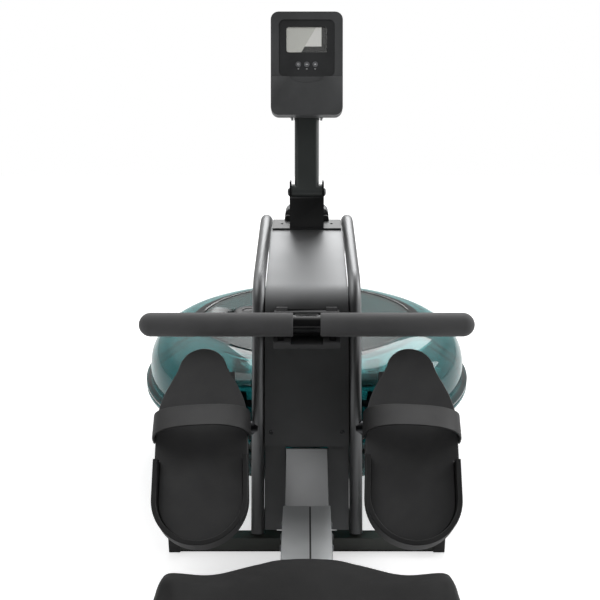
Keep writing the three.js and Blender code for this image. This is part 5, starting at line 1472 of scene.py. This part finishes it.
@dataclass
class Pedals:
    """Foot plates, heel cups and the broad straps over the feet."""

    x: float = 133.4
    heel: tuple[float, float] = (-135.0 + SHIFT_Y, 100.0)
    slope: float = math.radians(42.0)
    toe_out: float = math.radians(3.15)
    toe_turn: float = math.radians(10.0)
    plate_length: float = 275.0
    plate_thick: float = 12.0
    plate_half: float = 62.0
    plate_step: float = 112.0
    heel_radius: float = 55.0
    heel_centre: float = 58.8
    toe_radius: float = 34.0
    shoulder: float = 204.0
    taper_start: float = 158.0
    axle: tuple[float, float] = (184.41, -78.58)
    step_rise: float = 3.4
    rib_half: float = 60.0
    rib_root: float = 9.6
    rib_x: float = 26.0
    rib_thick: float = 10.0
    core: float = 0.1
    boss_radius: float = 13.0
    boss_half: float = 31.0
    bore_radius: float = 7.3
    floor_end: float = 84.0
    cup_wall: float = 6.8
    cup_short: float = 1.5
    cup_rise: float = 13.0
    cup_floor: float = 2.4
    strap_half: float = 65.9
    strap_start: float = 139.0
    strap_width: float = 37.0
    strap_thick: float = 3.0
    heel_rise: float = 52.0
    toe_rise: float = 32.0
    hang: float = 9.0

    def build(self, palette: Palette) -> None:
        """Builds both pedals.

        Args:
            palette: The machine's materials.
        """
        for side in Side:
            fitted(self._plate(side), f"{side.word}_foot_plate", palette.pedal)
            fitted(self._cup(side), f"{side.word}_heel_cup", palette.strap_rubber)
            fitted(self._strap(side), f"{side.word}_foot_strap", palette.strap_rubber)

    def _set(self, piece: Object, side: Side, toed: bool = True) -> Object:
        """Turns a shape from the plate's own lines into the machine's, with the toes out where asked."""
        toe = Matrix.Rotation(-side.value * self.toe_out, 4, "Z") if toed else Matrix.Identity(4)
        return placed(piece, Matrix.Rotation(self.slope, 4, "X") @ toe, (side.value * self.x, *self.heel))

    def _heel_arc(self, radius: float, steps: int = 48) -> np.ndarray:
        """The half circle round the heel, from the left side to the right: centre + r (cos a, sin a)."""
        return circle((0.0, self.heel_centre), radius, np.linspace(math.pi, 2 * math.pi, steps))

    def _plate(self, side: Side) -> Object:
        """The plate's outline carried through its thickness, with two ribs and the axle's boss below.

        Each long side is a cubic from the shoulder to the toe circle; the toe is that circle's arc.
        """
        half, step = self.plate_half, self.plate_step
        turn = self.toe_turn
        middle = self.plate_length - self.toe_radius
        toe = np.array([self.toe_radius * math.cos(turn), middle + self.toe_radius * math.sin(turn)])
        taper = self.shoulder - self.taper_start
        t = np.linspace(0.0, 1.0, 24)[:, None]
        knots = np.array([(half, self.taper_start), (half, self.shoulder),
                          (toe[0] + taper * math.sin(turn), toe[1] - taper / 2), toe])
        curve = (knots[0] * (1 - t) ** 3 + 3 * knots[1] * t * (1 - t) ** 2 + 3 * knots[2] * t**2 * (1 - t)
                 + knots[3] * t**3)
        arc = circle((0.0, middle), self.toe_radius, np.linspace(turn, math.pi - turn, 40)[1:-1])
        mirror = curve[::-1] * (-1.0, 1.0)
        notch = np.array([(self.heel_radius, step), (half, step + self.step_rise)])
        outline = np.concatenate([
            self._heel_arc(self.heel_radius), notch, curve, arc, mirror, notch[::-1] * (-1.0, 1.0),
        ])
        plate = extruded(f"{side.word}_foot_plate_shape", outline, -self.plate_thick, 0.0, rim=1.8, steps=5,
                         axis="z")
        self._set(plate, side)
        v, w = self.axle
        b, far, root = self.boss_radius, self.rib_half, -self.rib_root
        rib = np.array([(v - far, root), (v - b, w), (v + b, w), (v + far, root)])
        for end in (-1, 1):
            low = end * self.rib_x - self.rib_thick / 2
            web = extruded("rib", rounded(rib, 4.0, steps=4), low, low + self.rib_thick, rim=0.8, axis="x")
            bored(plate, self._set(web, side, toed=False), "UNION")
        ring = band(self.core, b, -self.boss_half, self.boss_half)
        boss = revolve("boss", rounded(ring, 1.0, steps=3), (0.0, v, w), steps=48, axis=AXIS_X)
        bored(plate, self._set(boss, side, toed=False), "UNION")
        hole = revolve("bore", ring * (self.bore_radius / b, 1.4), (0.0, v, w), steps=48, axis=AXIS_X)
        bored(plate, self._set(hole, side, toed=False))
        shaded_by_angle(plate, 40, weighted=True)
        return plate

    def _cup(self, side: Side) -> Object:
        """The heel cup: a U of two half circles carried up as a wall, joined to a thin floor."""
        outer, inner = self.heel_radius + self.cup_wall, self.heel_radius + FIT
        end = self.plate_step - self.cup_short
        low = -self.plate_thick - FIT - self.cup_floor
        wall = np.concatenate([
            [(-outer, end)], self._heel_arc(outer), [(outer, end), (inner, end)], self._heel_arc(inner)[::-1],
            [(-inner, end)],
        ])
        cup = extruded(f"{side.word}_heel_cup_shape", wall, low, self.cup_rise, rim=1.3, steps=5, axis="z")
        edge = self.floor_end
        outline = np.concatenate([[(-outer, edge)], self._heel_arc(outer), [(outer, edge)]])
        floor = extruded("cup_floor", outline, low, low + self.cup_floor, rim=0.6, steps=4, axis="z")
        bored(cup, floor, "UNION")
        shaded_by_angle(cup, 40, weighted=True)
        return self._set(cup, side)

    def _strap(self, side: Side) -> Object:
        """The strap: an arch (half |cos a|^0.8, (rise + hang) sin^0.75 a - hang).

        Its rounded section is swept along the arch, and the rise falls from the heel side to the toe side.
        """
        a = np.linspace(0.0, math.pi, 73)
        out = -np.sign(np.cos(a)) * np.abs(np.cos(a)) ** 0.8
        up = np.sin(a).clip(0.0) ** 0.75
        section = rounded(np.array([(0.0, 0.0), (1.0, 0.0), (1.0, 1.0), (0.0, 1.0)]) *
                          (self.strap_width, self.strap_thick), 1.4, steps=6)
        along, thin = section[:, 0], section[:, 1]
        rise = self.heel_rise + (self.toe_rise - self.heel_rise) * along / self.strap_width
        grid = np.empty((len(a), len(section), 3))
        grid[..., 0] = (self.strap_half - thin)[None] * out[:, None]
        grid[..., 1] = self.strap_start + along[None]
        grid[..., 2] = (rise + self.hang - thin)[None] * up[:, None] - self.hang
        return self._set(skin(f"{side.word}_foot_strap_shape", grid * MM), side)


@dataclass
class Seat:
    """The pad, the carriage under it and the two rollers on the rail."""

    y: float = -395.0 + SHIFT_Y
    width: float = 304.0
    depth: float = 250.0
    thickness: float = 50.0
    bottom: float = 142.3
    rim: float = 12.0
    nose: float = 14.0
    nose_half: float = 34.0
    nose_arc: float = 1.5
    nose_run: float = 71.0
    tip: float = 2.5
    tip_run: float = 30.0
    corner: float = 8.0
    bevel_run: float = 30.0
    bevel_drop: float = 10.8
    notch: float = 26.0
    notch_run: float = 64.0
    hollow: float = 5.0
    hollow_reach: float = 1.15
    slack: float = 0.4
    cap: float = 2.2
    side_power: int = 44
    crown_power: int = 24
    edge_power: float = 0.4
    voxel: float = 0.005
    pressure: float = 4.0
    held: float = 3.0
    frames: int = 20
    fill: float = 0.85

    def build(self, palette: Palette) -> None:
        """Builds the carriage, the rollers and the padded seat.

        Args:
            palette: The machine's materials.
        """
        soften("seat_carriage", palette.black_paint, 0.8)
        for place in ("front", "rear"):
            soften(f"{place}_roller", palette.rubber, 0.8)
        pad = self._pad()
        self._fill(pad)
        fitted(pad, "seat_pad", palette.seat)

    def _front(self, x: np.ndarray) -> np.ndarray:
        """How far the front edge runs: a nose, a hollow each side, and wing tips that come forward a little.

        With t from 0 to 1 over the hollow's run, it is depth / 2 - arc - nose (1 - (1 - t)^2) + tip.
        """
        wide = np.abs(x)
        arc = self.nose_arc * np.minimum(wide / self.nose_half, 1.0) ** 2
        fall = 1.0 - ((wide - self.nose_half) / self.nose_run).clip(0.0, 1.0)
        tip = self.tip * eased((wide - self.nose_half - self.nose_run) / self.tip_run)
        return self.depth / 2 - arc - self.nose * (1.0 - fall**2) + tip

    def _pad(self) -> Object:
        """Cross sections over the width: flat below, crowned above, with two hollows and a front bevel.

        With u and s from -1 to 1 across and along, the top is bottom + rim
        + ((thickness - rim) (1 - |u|^44)^0.4 - bevel) (1 - |s|^24)^0.4 - hollow sin^2(1.15 pi |u|) (1 - s^2).
        """
        rows, columns = 97, 65
        u = np.sin(np.linspace(-math.pi / 2, math.pi / 2, rows))[:, None]
        s = -np.cos(np.linspace(0.0, math.pi, columns))[None, :]
        x = np.broadcast_to(u * (self.width / 2 - self.slack), (rows, columns))
        turn = (np.abs(x) - self.width / 2 + self.slack + self.corner).clip(0.0) / self.corner
        corner = self.corner * (1 - np.sqrt((1 - turn**2).clip(0.0)))
        front = self._front(x) - self.slack - corner
        rear = corner + self.slack - self.depth / 2 + self.notch * (1 - eased(np.abs(x) / self.notch_run))
        side = (1 - np.abs(u) ** self.side_power).clip(0.0) ** self.edge_power
        crown = (1 - np.abs(s) ** self.crown_power).clip(0.0) ** self.edge_power
        y = (rear + front) / 2 + s * (front - rear) / 2
        run = self.bevel_run * eased((np.abs(x) - self.nose_half) / self.nose_run)
        bevel = self.bevel_drop / self.bevel_run * (run - (front - y)).clip(0.0)
        dip = self.hollow * np.sin(math.pi * np.minimum(np.abs(u) * self.hollow_reach, 1)) ** 2 * (1 - s**2)
        z = self.bottom + self.rim + ((self.thickness - self.rim - self.slack) * side - bevel) * crown - dip
        z = np.maximum(z, self.bottom + self.rim)
        top = np.stack([x, y, z], axis=-1)
        floor = np.array([1.0, 1.0, 0.0])
        base = np.array([0.0, 0.0, self.bottom])
        foot = [edge * floor + base for edge in (top[:, -1:], top[:, :1])]
        share = np.linspace(0.0, 1.0, 7)[None, 1:, None]
        fall = top[:, -1:] * (1 - share) + foot[0] * share
        rise = top[:, :1] * (1 - share[:, ::-1]) + foot[1] * share[:, ::-1]
        across = np.linspace(0.0, 1.0, 28)[None, 1:-1, None]
        under = foot[0] * (1 - across) + foot[1] * across
        grid = np.concatenate([top, fall, under, rise], axis=1)
        grid[..., 1] += self.y
        return skin("seat_pad_shape", grid * MM)

    def _fill(self, pad: Object) -> None:
        """Blows the pad up a little with cloth under pressure, its base held, and keeps each point near.

        Each point ends at its start plus its move, shortened to the cap where it is longer.

        Args:
            pad: The pad.
        """
        remesh = pad.modifiers.new("even", "REMESH")
        remesh.mode = "VOXEL"
        remesh.voxel_size = self.voxel
        applied(pad)
        start = np.empty(len(pad.data.vertices) * 3, dtype=np.float32)
        pad.data.vertices.foreach_get("co", start)
        start = start.reshape(-1, 3)
        held = np.flatnonzero(start[:, 2] < (self.bottom + self.held) * MM)
        pad.vertex_groups.new(name="base").add(held.tolist(), 1.0, "REPLACE")
        cloth = pad.modifiers.new("fill", "CLOTH")
        cloth.settings.use_pressure = True
        cloth.settings.uniform_pressure_force = self.pressure
        cloth.settings.effector_weights.gravity = 0.0
        cloth.settings.vertex_group_mass = "base"
        scene = bpy.context.scene
        for step in range(1, self.frames + 1):
            scene.frame_set(step)
        graph = bpy.context.evaluated_depsgraph_get()
        blown = pad.evaluated_get(graph).to_mesh()
        end = np.empty_like(start).ravel()
        blown.vertices.foreach_get("co", end)
        move = end.reshape(-1, 3) - start
        length = np.linalg.norm(move, axis=1, keepdims=True)
        move *= np.minimum(1.0, self.cap * MM / np.maximum(length, 1e-9))
        move[held] = 0.0
        pad.modifiers.clear()
        scene.frame_set(1)
        pad.data.vertices.foreach_set("co", (start + move).astype(np.float32).ravel())
        pad.data.update()
        finer = pad.modifiers.new("finer", "SUBSURF")
        finer.levels = finer.render_levels = 1
        applied(pad)
        smoothed(pad.data)


@dataclass
class Studio:
    """Camera, pale floor, white surround and soft lamps."""

    eye: Point = (0.0, -0.7094, 0.673)
    pitch: float = math.radians(72.5)
    lens: float = 45.0
    shift_x: float = -0.0113
    sensor: float = 36.0
    floor_size: float = 8.0

    def build(self, palette: Palette) -> None:
        """Sets up the whole studio.

        Args:
            palette: The machine's materials.
        """
        bpy.context.scene.view_settings.view_transform = "Standard"
        self._camera()
        self._floor(palette.floor)
        self._world()
        self._lamp("key_light", (-1.3, 0.2, 2.4), (0.0, 0.2, 0.3), 1.6, 14.0)
        self._lamp("side_light", (2.1, 0.9, 1.5), (0.0, 0.5, 0.25), 1.1, 18.0)
        self._lamp("back_light", (0.35, 2.75, 2.5), (0.0, 0.55, 0.38), 2.2, 55.0)

    def _camera(self) -> None:
        """Puts the camera over the rower's place, looking down the rail."""
        data = bpy.data.cameras.new("camera")
        data.lens = self.lens
        data.sensor_width = self.sensor
        data.shift_x = self.shift_x
        camera = linked("camera", data)
        camera.location = self.eye
        camera.rotation_euler = (self.pitch, 0.0, 0.0)
        bpy.context.scene.camera = camera

    def _lamp(self, name: str, at: Point, target: Point, size: float,
              power: float) -> None:
        """Adds a square area lamp that faces a point."""
        data = bpy.data.lights.new(name, "AREA")
        data.shape = "SQUARE"
        data.size = size
        data.energy = power
        lamp = linked(name, data)
        lamp.location = at
        lamp.rotation_euler = (Vector(target) - Vector(at)).to_track_quat("-Z", "Y").to_euler()

    def _floor(self, material: Material) -> None:
        """A plain square at height zero."""
        half = self.floor_size / 2
        points = np.array([(-half, -half, 0.0), (half, -half, 0.0), (half, half, 0.0), (-half, half, 0.0)])
        floor = mesh_object("floor", points, [np.array([[0, 1, 2, 3]])])
        floor.data.materials.append(material)

    def _world(self) -> None:
        """White for camera and transmitted rays; for reflections, white ahead and dark behind the camera."""
        world = bpy.data.worlds.new("surround")
        world.use_nodes = True
        bpy.context.scene.world = world
        world.node_tree.nodes.clear()
        w = Wires(world.node_tree)
        rays = w.node("ShaderNodeLightPath").outputs
        parts = w.split(w.node("ShaderNodeTexCoord").outputs["Generated"])
        ahead = w.ramp(parts["Y"], -0.35, 0.45)
        right = w.math("MULTIPLY", w.ramp(parts["X"], 0.45, 0.8), 0.8)
        height = w.math("ADD", w.math("MULTIPLY", w.ramp(parts["Z"], 0.25, 0.5), 0.55), 0.45)
        glossy = w.math("ADD", w.math("MAXIMUM", w.math("MULTIPLY", ahead, height), right), 0.01)
        direct = w.math("MAXIMUM", rays["Is Camera Ray"], rays["Is Transmission Ray"])
        soft = w.math("MULTIPLY", w.math("SUBTRACT", 1.0, rays["Is Glossy Ray"]), 0.5)
        indirect = w.math("ADD", w.math("MULTIPLY", rays["Is Glossy Ray"], glossy), soft)
        strength = w.math("ADD", direct, w.math("MULTIPLY", w.math("SUBTRACT", 1.0, direct), indirect))
        light = w.node("ShaderNodeBackground", Color=(1.0, 1.0, 1.0), Strength=strength)
        w.node("ShaderNodeOutputWorld", Surface=light.outputs["Background"])


def main() -> None:
    """Builds the finishes, the sub-assemblies and last the studio."""
    palette = Palette(Effects())
    parts = (FloorFrame(), SeatRail(), ArchTubes(), Casing(), Tank(), Drive(), Handle(), ConsoleUnit(),
             Pedals(), Seat(), Studio())
    for part in parts:
        log.info("building %s", type(part).__name__)
        part.build(palette)


if __name__ == "__main__":
    main()
